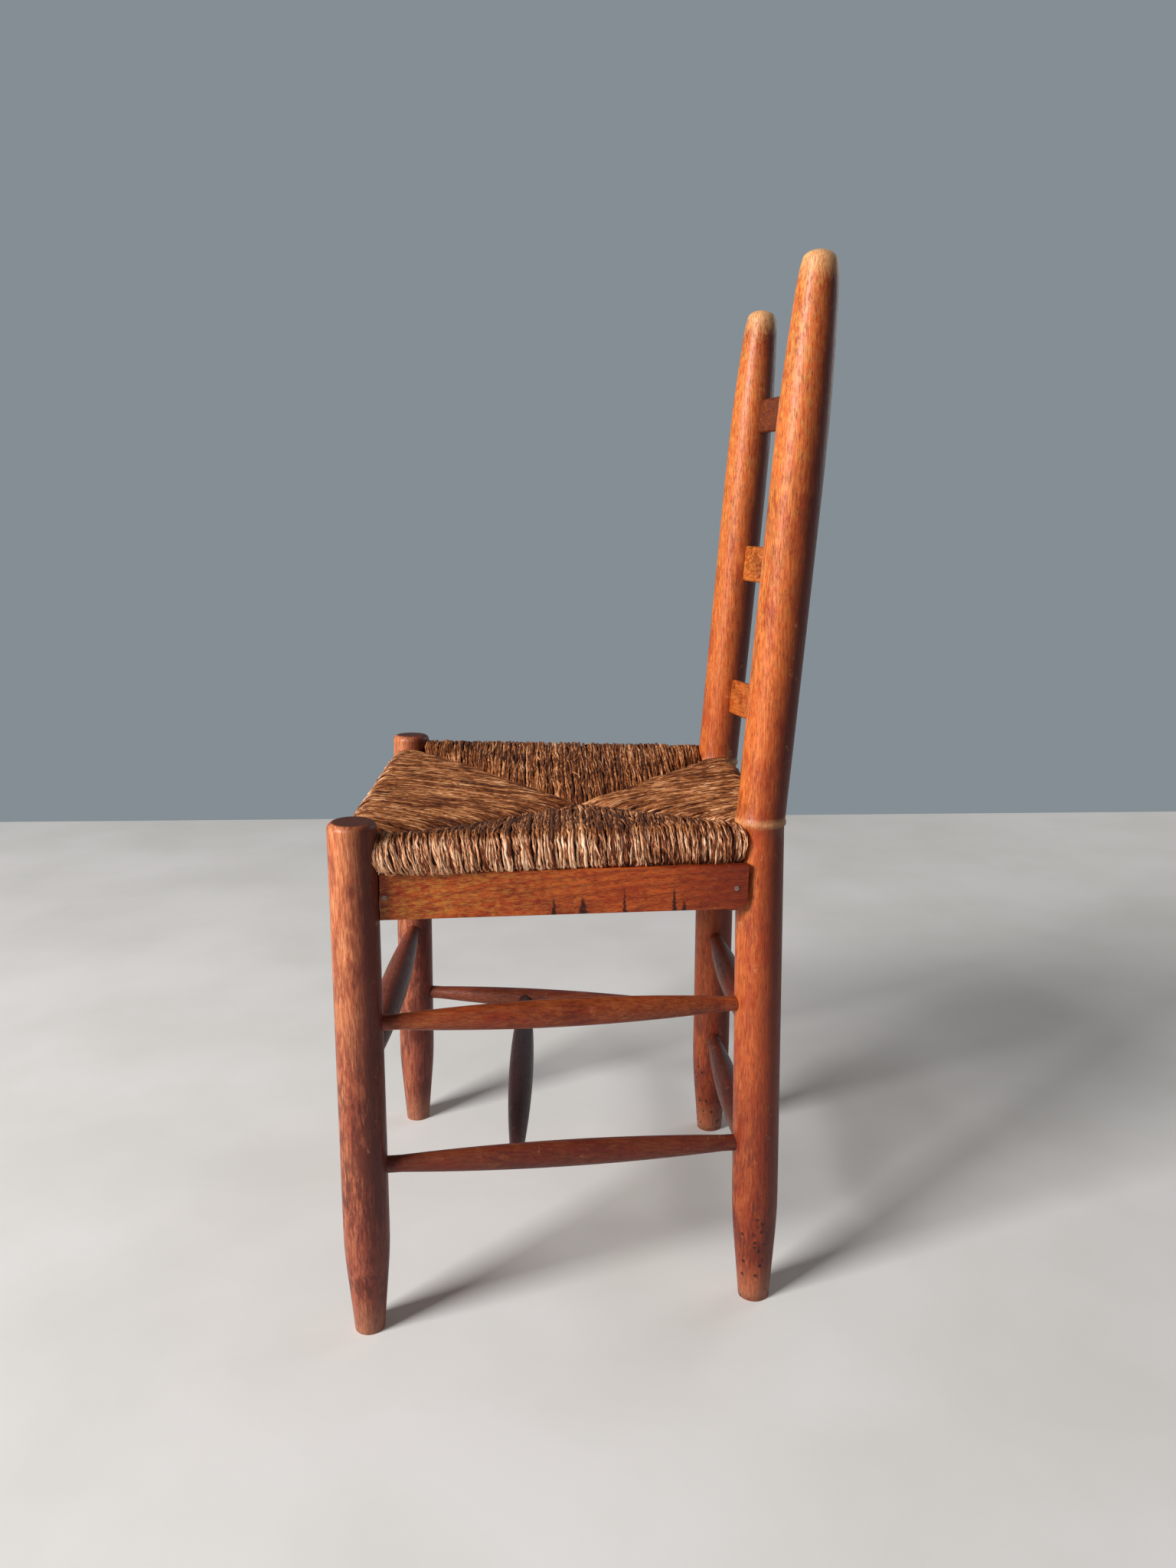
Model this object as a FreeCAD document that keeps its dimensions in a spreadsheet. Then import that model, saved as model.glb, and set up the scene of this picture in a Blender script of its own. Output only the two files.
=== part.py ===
"""Ladderback chair with a woven rush seat, as separate turned, bent and sawn pieces.

Frame: +Z up, +X to the sitter's left, the front of the seat faces -Y.
The origin is on the floor, at the middle of the chair's footprint. Millimetres.
"""

import FreeCAD
import Part
import Sketcher
import math
import os

from FreeCAD import Placement, Rotation, Vector

# Driving dimensions: alias, millimetres, what it measures
DRIVING_SIZES = [
    # Front legs
    ("front_leg_height", 470.0, "floor to the crown of a front leg"),
    ("front_leg_radius", 20.2, "turned shaft of a front leg"),
    ("front_foot_radius", 13.2, "front leg where it meets the floor"),
    ("front_taper_height", 102.0, "floor to the end of the foot's taper"),
    ("front_top_round", 6.0, "rounding of a front leg's top edge"),
    ("front_foot_spacing", 396.0, "between the front feet, axis to axis"),
    ("front_top_spacing", 422.0, "between the front leg tops, axis to axis"),
    ("front_rake", 5.0, "front leg top behind its foot"),
    # Back posts
    ("back_post_height", 920.0, "floor to the tip of a back post"),
    ("back_post_radius", 20.9, "turned shaft of a post below the seat"),
    ("back_upper_radius", 21.4, "turned shaft of a post above the seat"),
    ("back_foot_radius", 14.2, "back post where it meets the floor"),
    ("back_taper_height", 106.0, "floor to the end of the foot's taper"),
    ("bend_height", 450.0, "floor to the bend in a back post"),
    ("ring_height", 8.0, "turned ring that marks the bend"),
    ("ring_proud", 1.6, "ring beyond the shaft"),
    ("back_foot_spacing", 322.0, "between the back feet, axis to axis"),
    ("back_bend_spacing", 280.0, "between the posts at the bend, axis to axis"),
    ("back_tip_spacing", 274.0, "between the post tips, axis to axis"),
    ("leg_depth", 352.0, "front foot to back foot, axis to axis"),
    ("back_kick", 2.0, "back foot behind the bend"),
    ("back_lean", 37.0, "post tip behind the bend"),
    ("tip_taper_length", 160.0, "tip of a post down to its full thickness"),
    ("tip_shoulder_length", 54.0, "tip of a post down to its shoulder"),
    ("tip_shoulder_radius", 18.8, "post at its shoulder"),
    ("tip_cap_length", 11.0, "depth of the domed cap on a post"),
    ("tip_cap_radius", 13.2, "rim of the domed cap"),
    # Tapered feet of legs and posts
    ("foot_cone_height", 62.0, "straight cone at the bottom of a leg or post"),
    ("foot_cone_step", 1.7, "cone's upper end inside the shaft's surface"),
    # Joints between the sticks
    ("fit_clearance", 0.1, "tenon to mortise wall"),
    ("mortise_end_gap", 0.5, "tenon end to mortise floor"),
    ("tenon_web", 2.8, "wood kept between two tenons that cross in a leg"),
    ("seat_gap", 0.2, "between a board and the stick that it bears on"),
    # Seat rails, hidden inside the rush
    ("rail_drop", 27.5, "front leg's top to the front rail's axis"),
    ("rail_radius", 12.0, "seat rail at mid length"),
    ("rail_tenon_radius", 6.8, "seat rail's ends"),
    ("seat_drop", 9.0, "how far the seat and side rungs fall to the back"),
    # Side rungs
    ("side_upper_height", 293.0, "floor to an upper side rung, at the front"),
    ("side_upper_belly", 12.3, "upper side rung at its thickest"),
    ("side_upper_end", 6.8, "upper side rung's ends"),
    ("side_lower_height", 160.0, "floor to a lower side rung, at the front"),
    ("side_lower_belly", 11.6, "lower side rung at its thickest"),
    ("side_lower_end", 7.3, "lower side rung's ends"),
    # Front and back rungs, and the stretcher across the lower side rungs
    ("front_rung_height", 240.0, "floor to the front rung"),
    ("front_rung_belly", 14.5, "front rung at its thickest"),
    ("back_upper_height", 246.0, "floor to the upper back rung"),
    ("back_lower_height", 122.0, "floor to the lower back rung"),
    ("back_rung_belly", 13.5, "back rungs at their thickest"),
    ("cross_rung_end", 7.5, "ends of the front and back rungs"),
    ("stretcher_depth", 133.0, "front feet's axes to the stretcher"),
    ("stretcher_belly", 12.4, "stretcher at its thickest"),
    ("stretcher_end", 7.0, "stretcher's ends"),
    ("stretcher_stop", 3.0, "stretcher's end to the side rung's axis"),
    ("rung_neck_length", 12.0, "straight end of a rung outside its leg"),
    # Back slats
    ("slat_top_drop", 105.5, "tip of a post down to the middle of the top slat"),
    ("slat_middle_height", 666.0, "floor to the middle of the middle slat"),
    ("slat_bottom_height", 525.0, "floor to the middle of the bottom slat"),
    ("slat_top_width", 33.0, "top slat, edge to edge"),
    ("slat_middle_width", 36.0, "middle and bottom slats, edge to edge"),
    ("slat_thickness", 6.4, "bent slats"),
    ("slat_bow", 26.0, "how far a slat bows behind the posts' axes"),
    ("slat_stop", 6.0, "slat's end to the post's axis"),
    ("slat_edge_bevel", 1.4, "bevel on a slat's long edges"),
    # Apron boards under the rush
    ("apron_height", 39.5, "apron boards, edge to edge"),
    ("apron_thickness", 8.0, "apron boards"),
    ("apron_drop", 17.5, "rail's axis to a side apron's upper edge"),
    ("side_apron_front_offset", 2.0, "board's middle outside the leg's axis"),
    ("side_apron_back_offset", 16.0, "board's middle outside the post's axis"),
    ("side_apron_chamfer", 6.0, "cut lower rear corner"),
    ("apron_edge_round", 1.0, "rounding of the boards' long edges"),
    ("cross_apron_drop", 2.5, "front and back aprons below the side ones"),
    # Nails
    ("nail_radius", 1.0, "shank of an apron nail"),
    ("nail_length", 22.0, "apron nail under its head"),
    ("nail_head_radius", 2.1, "head of an apron nail"),
    ("nail_head_height", 0.7, "head of an apron nail"),
    ("nail_clearance", 0.05, "shank to the wood"),
    ("nail_inset", 9.0, "cross apron nail to the leg's axis, sideways"),
    # Rush seat
    ("rush_front_layer", 4.2, "woven layer over the front rail"),
    ("rush_back_layer", 3.6, "woven layer over the back rail"),
    ("rush_clearance", 0.3, "rush to the wood that it wraps"),
    ("rush_centre_depth", 197.0, "front legs' axes to the seams' crossing"),
    ("rush_centre_drop", 3.5, "front rail's axis to the top of the seams' crossing"),
    ("rush_centre_thickness", 15.0, "seat at the seams' crossing"),
    ("rush_field_rise", 2.5, "crown of each woven field over a flat one"),
    ("rush_roll_proud", 0.8, "top of a roll over its field's edge"),
    ("rush_field_inset", 3.0, "field's corner inside the rails' axes"),
    ("rush_side_slimmer", 0.6, "side rolls slimmer than the front and back ones"),
]

SHEET_NAME = "Sizes"
PARTS_FOLDER = "parts"
SIDES = (("left", 1), ("right", -1))
FLOOR_TRIM_DEPTH = 20.0
LEG_END_SURPLUS = 4.0
CUTTER_SURPLUS = 6.0


class Size:
    """A length that knows its value and the expression that gives it."""

    def __init__(self, value, text=None):
        self.value = float(value)
        self.text = text or "(%r)" % float(value)

    def _join(self, other, sign, value):
        return Size(value, "(%s %s %s)" % (self.text, sign, as_size(other).text))

    def __add__(self, other):
        return self._join(other, "+", self.value + number(other))

    def __sub__(self, other):
        return self._join(other, "-", self.value - number(other))

    def __mul__(self, other):
        return self._join(other, "*", self.value * number(other))

    def __truediv__(self, other):
        return self._join(other, "/", self.value / number(other))

    def __neg__(self):
        return Size(-self.value, "(0 - %s)" % self.text)


def number(size):
    """The plain number behind a Size or a number."""
    return size.value if isinstance(size, Size) else float(size)


def as_size(size):
    """A Size from a Size or a plain number."""
    return size if isinstance(size, Size) else Size(size)


def hypotenuse(*legs):
    """The length whose square is the sum of the legs' squares."""
    total = as_size(0.0)
    for leg in legs:
        total = total + leg * leg
    return Size(math.sqrt(total.value), "sqrt(%s)" % total.text)


def arc_through(half_chord, rise):
    """The radius of an arc that rises so far over half its chord."""
    return (half_chord * half_chord + rise * rise) / (rise * 2.0)


# The document, its sheet of driving dimensions and the sizes read from it
doc = FreeCAD.newDocument("ladderback_chair")
sheet = doc.addObject("Spreadsheet::Sheet", SHEET_NAME)
for row, (alias, millimetres, note) in enumerate(DRIVING_SIZES, start=1):
    sheet.set("A%d" % row, note)
    sheet.set("B%d" % row, str(millimetres))
    sheet.setAlias("B%d" % row, alias)
doc.recompute()
SIZE = {
    alias: Size(sheet.get(alias), "%s.%s" % (SHEET_NAME, alias))
    for alias, millimetres, note in DRIVING_SIZES
}


def mm(alias):
    """The plain value of one driving dimension."""
    return SIZE[alias].value


# Chair frame: where the axes of legs and posts run.
# Places are worked out from the front feet, and the frame's shift is added last.


def between(start, end, share):
    """The value a share of the way from start to end."""
    return start + (end - start) * share


def front_axis(side, height):
    """Sizes of a point on the axis of the front leg on one side."""
    share = as_size(height) / SIZE["front_leg_height"]
    spacing = between(SIZE["front_foot_spacing"], SIZE["front_top_spacing"], share)
    return spacing * (side * 0.5), SIZE["front_rake"] * share, as_size(height)


def back_axis(side, height):
    """Sizes of a point on the bent axis of the back post on one side."""
    bend = SIZE["bend_height"]
    bend_depth = SIZE["leg_depth"] - SIZE["back_kick"]
    if number(height) <= bend.value:
        share = as_size(height) / bend
        spacing = between(SIZE["back_foot_spacing"], SIZE["back_bend_spacing"], share)
        depth = between(SIZE["leg_depth"], bend_depth, share)
    else:
        share = (as_size(height) - bend) / (SIZE["back_post_height"] - bend)
        spacing = between(SIZE["back_bend_spacing"], SIZE["back_tip_spacing"], share)
        depth = bend_depth + SIZE["back_lean"] * share
    return spacing * (side * 0.5), depth, as_size(height)


def vector(point):
    """The plain vector of a point that is given as Sizes."""
    return Vector(*(size.value for size in point))


def distance(start, end):
    """The Size of the straight run between two points given as Sizes."""
    return hypotenuse(*(last - first for first, last in zip(start, end)))


slat_top_height = SIZE["back_post_height"] - SIZE["slat_top_drop"]


def lean_angle():
    """How far the upper part of a back post leans back, in radians."""
    return math.atan2(mm("back_lean"), mm("back_post_height") - mm("bend_height"))


def front_reach():
    """How far the front legs' shafts stand out in front of their feet."""
    taper_share = mm("front_taper_height") / mm("front_leg_height")
    return mm("front_leg_radius") - mm("front_rake") * taper_share


def back_reach():
    """How far behind the front feet the top slat's bowed edge comes."""
    bowed = (mm("slat_bow") + mm("slat_thickness") / 2.0) * math.cos(lean_angle())
    half_flat = mm("slat_top_width") / 2.0 - mm("slat_edge_bevel")
    raised = half_flat * math.sin(lean_angle())
    return back_axis(1, slat_top_height)[1].value + bowed + raised


# From the front feet to the middle of the footprint
SHIFT = Vector(0, (front_reach() - back_reach()) / 2.0, 0)


def placed(base, rotation=Rotation()):
    """A placement in the chair's frame."""
    return Placement(base + SHIFT, rotation)


def along(start, end):
    """A placement at start that turns +Z towards end."""
    return placed(start, Rotation(Vector(0, 0, 1), end - start))


def unit(vector):
    """The same direction at length one."""
    return Vector(vector).normalize()


# Sketches and bodies


def origin_plane(body, role):
    """One of a body's own origin planes, found by its role."""
    return [item for item in body.Origin.OriginFeatures if item.Role == role][0]


def new_sketch(body, role):
    """An empty sketch on one of the body's origin planes."""
    sketch = body.newObject("Sketcher::SketchObject", body.Name + "_sketch")
    sketch.AttachmentSupport = [(origin_plane(body, role), "")]
    sketch.MapMode = "FlatFace"
    return sketch


def bind(sketch, constraint, size):
    """Add a constraint and tie its value to the sheet."""
    index = sketch.addConstraint(constraint)
    if isinstance(size, Size):
        sketch.setExpression("Constraints[%d]" % index, size.text)


def arc_geometry(start, end, radius):
    """The arc that leaves start and bulges to the right on its way to end."""
    chord = end - start
    middle = (start + end) * 0.5
    rise = math.sqrt(max(radius**2 - (chord.Length / 2.0) ** 2, 0.0))
    left = Vector(-chord.y, chord.x, 0).normalize()
    centre = middle + left * rise
    first = math.atan2(start.y - centre.y, start.x - centre.x)
    last = math.atan2(end.y - centre.y, end.x - centre.x)
    return Part.ArcOfCircle(Part.Circle(centre, Vector(0, 0, 1), radius), first, last)


def outline(sketch, corners):
    """A closed outline. A corner is x, y and the radius of the arc to the next."""
    points = [Vector(number(x), number(y), 0) for x, y, radius in corners]
    count = len(corners)
    for index, (x, y, radius) in enumerate(corners):
        start = points[index]
        end = points[(index + 1) % count]
        if radius is None:
            sketch.addGeometry(Part.LineSegment(start, end))
        else:
            sketch.addGeometry(arc_geometry(start, end, number(radius)))
    for index, (x, y, radius) in enumerate(corners):
        sketch.addConstraint(
            Sketcher.Constraint("Coincident", index, 2, (index + 1) % count, 1)
        )
        place_point(sketch, index, x, "X")
        place_point(sketch, index, y, "Y")
        if radius is not None:
            bind(sketch, Sketcher.Constraint("Radius", index, number(radius)), radius)


def place_point(sketch, index, size, letter):
    """Hold the start of one edge at its distance from the sketch's origin."""
    if not isinstance(size, Size) and number(size) == 0.0:
        axis = -2 if letter == "X" else -1
        sketch.addConstraint(Sketcher.Constraint("PointOnObject", index, 1, axis))
        return
    constraint = Sketcher.Constraint("Distance" + letter, index, 1, number(size))
    bind(sketch, constraint, size)


def turned_body(name, corners):
    """A body turned about its own Z axis from a half outline in X and Z."""
    body = doc.addObject("PartDesign::Body", name)
    sketch = new_sketch(body, "XZ_Plane")
    outline(sketch, corners)
    turning = body.newObject("PartDesign::Revolution", name + "_turning")
    turning.Profile = sketch
    turning.ReferenceAxis = (sketch, ["V_Axis"])
    turning.Angle = 360.0
    body.Tip = turning
    doc.recompute()
    return body


def sawn_body(name, role, corners, thickness):
    """A body sawn to an outline, with its thickness centred on the plane."""
    body = doc.addObject("PartDesign::Body", name)
    sketch = new_sketch(body, role)
    outline(sketch, corners)
    board = body.newObject("PartDesign::Pad", name + "_board")
    board.Profile = sketch
    board.Midplane = True
    board.Length = number(thickness)
    board.setExpression("Length", thickness.text)
    body.Tip = board
    doc.recompute()
    return body


def ease_edges(body, kind, setting, size, wanted):
    """Ease the edges of a body's tip that a test picks out, by a fillet or chamfer."""
    base = body.Tip
    edges = enumerate(base.Shape.Edges, start=1)
    names = ["Edge%d" % index for index, edge in edges if wanted(edge)]
    easing = body.newObject("PartDesign::" + kind, body.Name + "_easing")
    easing.Base = (base, names)
    setattr(easing, setting, size.value)
    easing.setExpression(setting, size.text)
    body.Tip = easing
    doc.recompute()


def round_edges(body, radius, wanted):
    """Round the edges that a test picks out."""
    ease_edges(body, "Fillet", "Radius", radius, wanted)


def bevel_edges(body, size, wanted):
    """Bevel the edges that a test picks out."""
    ease_edges(body, "Chamfer", "Size", size, wanted)


# Cutters for mortises, nail holes and the floor


def cylinder(name, start, direction, length, radius):
    """A round cutter that starts at a point and runs along a direction."""
    tool = doc.addObject("Part::Cylinder", name)
    tool.Height = length
    tool.Radius = number(radius)
    if isinstance(radius, Size):
        tool.setExpression("Radius", radius.text)
    tool.Placement = along(start, start + direction)
    return tool


def mortise_cutter(name, end, direction, carrier_radius, radius):
    """A cutter for the mortise that holds a tenon ending at a point."""
    floor = end - direction * mm("mortise_end_gap")
    length = number(carrier_radius) + CUTTER_SURPLUS
    return cylinder(name, floor, direction, length, radius + SIZE["fit_clearance"])


def floor_cutter(name):
    """A block under the floor that trims a leaning leg's foot flat."""
    block = doc.addObject("Part::Box", name)
    span = 2.0 * (mm("leg_depth") + mm("front_foot_spacing"))
    block.Length = span
    block.Width = span
    block.Height = FLOOR_TRIM_DEPTH
    half = span / 2.0
    block.Placement = placed(Vector(-half, -half, -FLOOR_TRIM_DEPTH))
    return block


def fused(name, pieces):
    """One solid from several overlapping ones."""
    union = doc.addObject("Part::MultiFuse", name)
    union.Shapes = pieces
    return union


def cut(label, base, cutters):
    """The base with every cutter taken away, as a finished sub-part."""
    result = doc.addObject("Part::Cut", label)
    result.Base = base
    if len(cutters) == 1:
        result.Tool = cutters[0]
    else:
        result.Tool = fused(label + "_cutters", cutters)
    return result


finished = []
cutters_for = {
    "%s_%s" % (stick, word): [] for stick in ("front_leg", "back_post") for word, side in SIDES
}
cutters_for.update({"side_rung_lower_%s" % word: [] for word, side in SIDES})


def keep(label, item):
    """Put a finished sub-part on the list under its own label."""
    item.Label = label
    finished.append((label, item))


# Sticks that run from one leg to another

# No tenon passes this distance from a leg's axis, so two of them can cross
TENON_STOP = SIZE["rail_tenon_radius"] + SIZE["tenon_web"]


def spindle(label, length, belly, end, neck):
    """A cigar-shaped stick: straight round ends and a long swelling belly."""
    arc_radius = arc_through(length * 0.5 - neck, belly - end)
    corners = [
        (0.0, 0.0, None),
        (end, 0.0, None),
        (end, neck, arc_radius),
        (belly, length * 0.5, arc_radius),
        (end, length - neck, None),
        (end, length, None),
        (0.0, length, None),
    ]
    return turned_body(label, corners)


def stick_between(label, start, end, carriers, belly, thin, stop=TENON_STOP):
    """A stick tenoned at both ends. carriers are names and radii at each end."""
    direction = unit(vector(end) - vector(start))
    first = vector(start) + direction * stop.value
    last = vector(end) - direction * stop.value
    neck = carriers[0][1] - stop + SIZE["rung_neck_length"]
    stick = spindle(label, distance(start, end) - stop * 2.0, belly, thin, neck)
    stick.Placement = along(first, last)
    for (carrier, radius), tip, way in zip(carriers, (first, last), (1, -1)):
        name = "%s_mortise_for_%s" % (carrier, label)
        cutter = mortise_cutter(name, tip, direction * way, radius, thin)
        cutters_for[carrier].append(cutter)
    return stick


def side_stick(label, word, side, height, belly, thin):
    """A stick from the front leg to the back post on one side."""
    start = front_axis(side, height)
    end = back_axis(side, height - SIZE["seat_drop"])
    carriers = (
        ("front_leg_" + word, SIZE["front_leg_radius"]),
        ("back_post_" + word, SIZE["back_post_radius"]),
    )
    return stick_between(label, start, end, carriers, belly, thin)


def cross_stick(label, axis, carrier, radius, height, belly, thin):
    """A level stick from the right to the left leg or post."""
    carriers = ((carrier + "_right", radius), (carrier + "_left", radius))
    return stick_between(
        label, axis(-1, height), axis(1, height), carriers, belly, thin
    )


def lower_rung_point(side):
    """Where the stretcher's axis meets a lower side rung's axis."""
    height = SIZE["side_lower_height"]
    front = front_axis(side, height)
    back = back_axis(side, height - SIZE["seat_drop"])
    share = (SIZE["stretcher_depth"] - front[1]) / (back[1] - front[1])
    return tuple(between(first, last, share) for first, last in zip(front, back))


# Seat rails
rail_height = SIZE["front_leg_height"] - SIZE["rail_drop"]
back_rail_height = rail_height - SIZE["seat_drop"]
for word, side in SIDES:
    label = "seat_rail_" + word
    sizes = (rail_height, SIZE["rail_radius"], SIZE["rail_tenon_radius"])
    keep(label, side_stick(label, word, side, *sizes))

# Sticks across the chair: carrier, height, belly and end radius
FRONT_LEGS = (front_axis, "front_leg", SIZE["front_leg_radius"])
BACK_POSTS = (back_axis, "back_post", SIZE["back_post_radius"])
for label, carrier, height, belly, thin in (
    ("seat_rail_front", FRONT_LEGS, rail_height, "rail_radius", "rail_tenon_radius"),
    ("seat_rail_back", BACK_POSTS, back_rail_height, "rail_radius", "rail_tenon_radius"),
    ("front_rung", FRONT_LEGS, SIZE["front_rung_height"], "front_rung_belly", "cross_rung_end"),
    ("back_rung_upper", BACK_POSTS, SIZE["back_upper_height"], "back_rung_belly", "cross_rung_end"),
    ("back_rung_lower", BACK_POSTS, SIZE["back_lower_height"], "back_rung_belly", "cross_rung_end"),
):
    keep(label, cross_stick(label, *carrier, height, SIZE[belly], SIZE[thin]))

# Side rungs, the lower ones bored for the stretcher
lower_rungs = {}
for word, side in SIDES:
    upper = side_stick(
        "side_rung_upper_" + word,
        word,
        side,
        SIZE["side_upper_height"],
        SIZE["side_upper_belly"],
        SIZE["side_upper_end"],
    )
    keep("side_rung_upper_" + word, upper)
    lower_rungs[word] = side_stick(
        "side_rung_lower_%s_turned" % word,
        word,
        side,
        SIZE["side_lower_height"],
        SIZE["side_lower_belly"],
        SIZE["side_lower_end"],
    )

stretcher = stick_between(
    "cross_stretcher",
    lower_rung_point(-1),
    lower_rung_point(1),
    (
        ("side_rung_lower_right", SIZE["side_lower_belly"]),
        ("side_rung_lower_left", SIZE["side_lower_belly"]),
    ),
    SIZE["stretcher_belly"],
    SIZE["stretcher_end"],
    SIZE["stretcher_stop"],
)
keep("cross_stretcher", stretcher)
for word, side in SIDES:
    label = "side_rung_lower_" + word
    keep(label, cut(label, lower_rungs[word], cutters_for[label]))


# Bent slats, let into slots in the posts


def slat_placement(height):
    """The slat's middle between the posts' axes, leaning as the posts do."""
    depth = back_axis(1, height)[1].value
    lean = Rotation(Vector(1, 0, 0), -math.degrees(lean_angle()))
    return placed(Vector(0, depth, height.value), lean)


def slat_body(name, height, width, thickness, reach):
    """A slat bent to one arc through both posts' axes, or a cutter for its slots."""
    bow = SIZE["slat_bow"]
    bend_radius = arc_through(back_axis(1, height)[0], bow)
    back_radius = bend_radius + thickness * 0.5
    front_radius = bend_radius - thickness * 0.5

    def end_depth(radius):
        rise = math.sqrt(radius.value**2 - reach.value**2)
        return bow.value - bend_radius.value + rise

    corners = (
        (reach, end_depth(front_radius)),
        (reach, end_depth(back_radius)),
        (-reach, end_depth(back_radius)),
        (-reach, end_depth(front_radius)),
    )
    points = [Vector(number(x), number(y), 0) for x, y in corners]
    body = doc.addObject("PartDesign::Body", name)
    sketch = new_sketch(body, "XY_Plane")
    sketch.addGeometry(Part.LineSegment(points[0], points[1]))
    sketch.addGeometry(arc_geometry(points[1], points[2], back_radius.value))
    sketch.addGeometry(Part.LineSegment(points[2], points[3]))
    sketch.addGeometry(arc_geometry(points[0], points[3], front_radius.value))
    for ends in ((0, 2, 1, 1), (1, 2, 2, 1), (2, 2, 3, 2), (3, 1, 0, 1)):
        sketch.addConstraint(Sketcher.Constraint("Coincident", *ends))
    for (x, y), (edge, end) in zip(corners, ((0, 1), (0, 2), (2, 1), (2, 2))):
        bind(sketch, Sketcher.Constraint("DistanceX", edge, end, number(x)), x)
        sketch.addConstraint(Sketcher.Constraint("DistanceY", edge, end, y))
    for edge, radius in ((1, back_radius), (3, front_radius)):
        bind(sketch, Sketcher.Constraint("Radius", edge, radius.value), radius)
    board = body.newObject("PartDesign::Pad", name + "_board")
    board.Profile = sketch
    board.Midplane = True
    board.Length = width.value
    board.setExpression("Length", width.text)
    body.Tip = board
    body.Placement = slat_placement(height)
    doc.recompute()
    return body


for label, height, width in (
    ("slat_top", slat_top_height, SIZE["slat_top_width"]),
    ("slat_middle", SIZE["slat_middle_height"], SIZE["slat_middle_width"]),
    ("slat_bottom", SIZE["slat_bottom_height"], SIZE["slat_middle_width"]),
):
    thickness = SIZE["slat_thickness"]
    reach = back_axis(1, height)[0] - SIZE["slat_stop"]
    slat = slat_body(label, height, width, thickness, reach)
    bevel_edges(slat, SIZE["slat_edge_bevel"], lambda edge: edge.Length > reach.value)
    keep(label, slat)
    fit = SIZE["fit_clearance"] * 2.0
    slot_reach = reach + SIZE["mortise_end_gap"]
    for word, side in SIDES:
        name = "%s_slot_%s" % (label, word)
        slot = slat_body(name, height, width + fit, thickness + fit, slot_reach)
        cutters_for["back_post_" + word].append(slot)


# Apron boards and their nails


nails = []
apron_cutters = {name: [] for name in ("front", "back", "left", "right")}


def apron_height_at(share):
    """Height of the side apron's middle, a share of the way to the back."""
    top = rail_height.value - mm("apron_drop") - mm("seat_drop") * share
    return top - mm("apron_height") / 2.0


def level(point):
    """A vector's level part."""
    return Vector(point.x, point.y, 0)


def drive_nail(name, head_centre, direction, boards):
    """A nail whose head sits on a board, and its holes in what it passes."""
    head_height = mm("nail_head_height")
    head_start = head_centre - direction * head_height
    reach = mm("nail_length")
    shank = cylinder(name + "_shank", head_centre, direction, reach, SIZE["nail_radius"])
    head = cylinder(name + "_head", head_start, direction, head_height, SIZE["nail_head_radius"])
    nails.append(fused(name, [shank, head]))
    radius = SIZE["nail_radius"] + SIZE["nail_clearance"]
    start = head_centre - direction * CUTTER_SURPLUS
    reach += CUTTER_SURPLUS + mm("mortise_end_gap")
    for index, cutters in enumerate(boards):
        hole = cylinder("%s_hole_%d" % (name, index), start, direction, reach, radius)
        cutters.append(hole)


# The left side apron: its middle plane runs from one end point to the other
apron_middle = apron_height_at(0.0)
leg_point = vector(front_axis(1, apron_middle))
post_point = vector(back_axis(1, apron_height_at(1.0)))
half_thick = mm("apron_thickness") / 2.0
leg_run = unit(level(post_point - leg_point))
leg_out = Vector(leg_run.y, -leg_run.x, 0)
side_start = level(leg_point) + leg_run * (mm("front_leg_radius") + mm("seat_gap"))
side_start += leg_out * mm("side_apron_front_offset")
inner_offset = mm("side_apron_back_offset") - half_thick
post_clear = mm("back_post_radius") + mm("seat_gap") * 2.0
side_stop = math.sqrt(post_clear**2 - inner_offset**2)
side_end = level(post_point) - leg_run * side_stop
side_end += leg_out * mm("side_apron_back_offset")
side_length = (side_end - side_start).Length
side_run = unit(side_end - side_start)
side_out = Vector(side_run.y, -side_run.x, 0)
side_turn = math.degrees(math.atan2(side_run.y, side_run.x))
side_fall = math.degrees(math.atan2(mm("seat_drop"), mm("leg_depth")))


def side_x(depth, offset):
    """Where a plane beside the left apron's middle plane lies at one depth."""
    share = (depth - side_start.y) / (side_end.y - side_start.y)
    return between(side_start.x, side_end.x, share) + offset / side_out.x


def bearing_depth(point, radius, way):
    """Depth of the face that a cross apron bears on, on a leg or a post."""
    inner_x = side_x(point.y + way * radius, -half_thick)
    sideways = max(point.x - inner_x, 0.0)
    face = math.sqrt(radius**2 - sideways**2)
    return point.y + way * (face + mm("seat_gap"))


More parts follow.
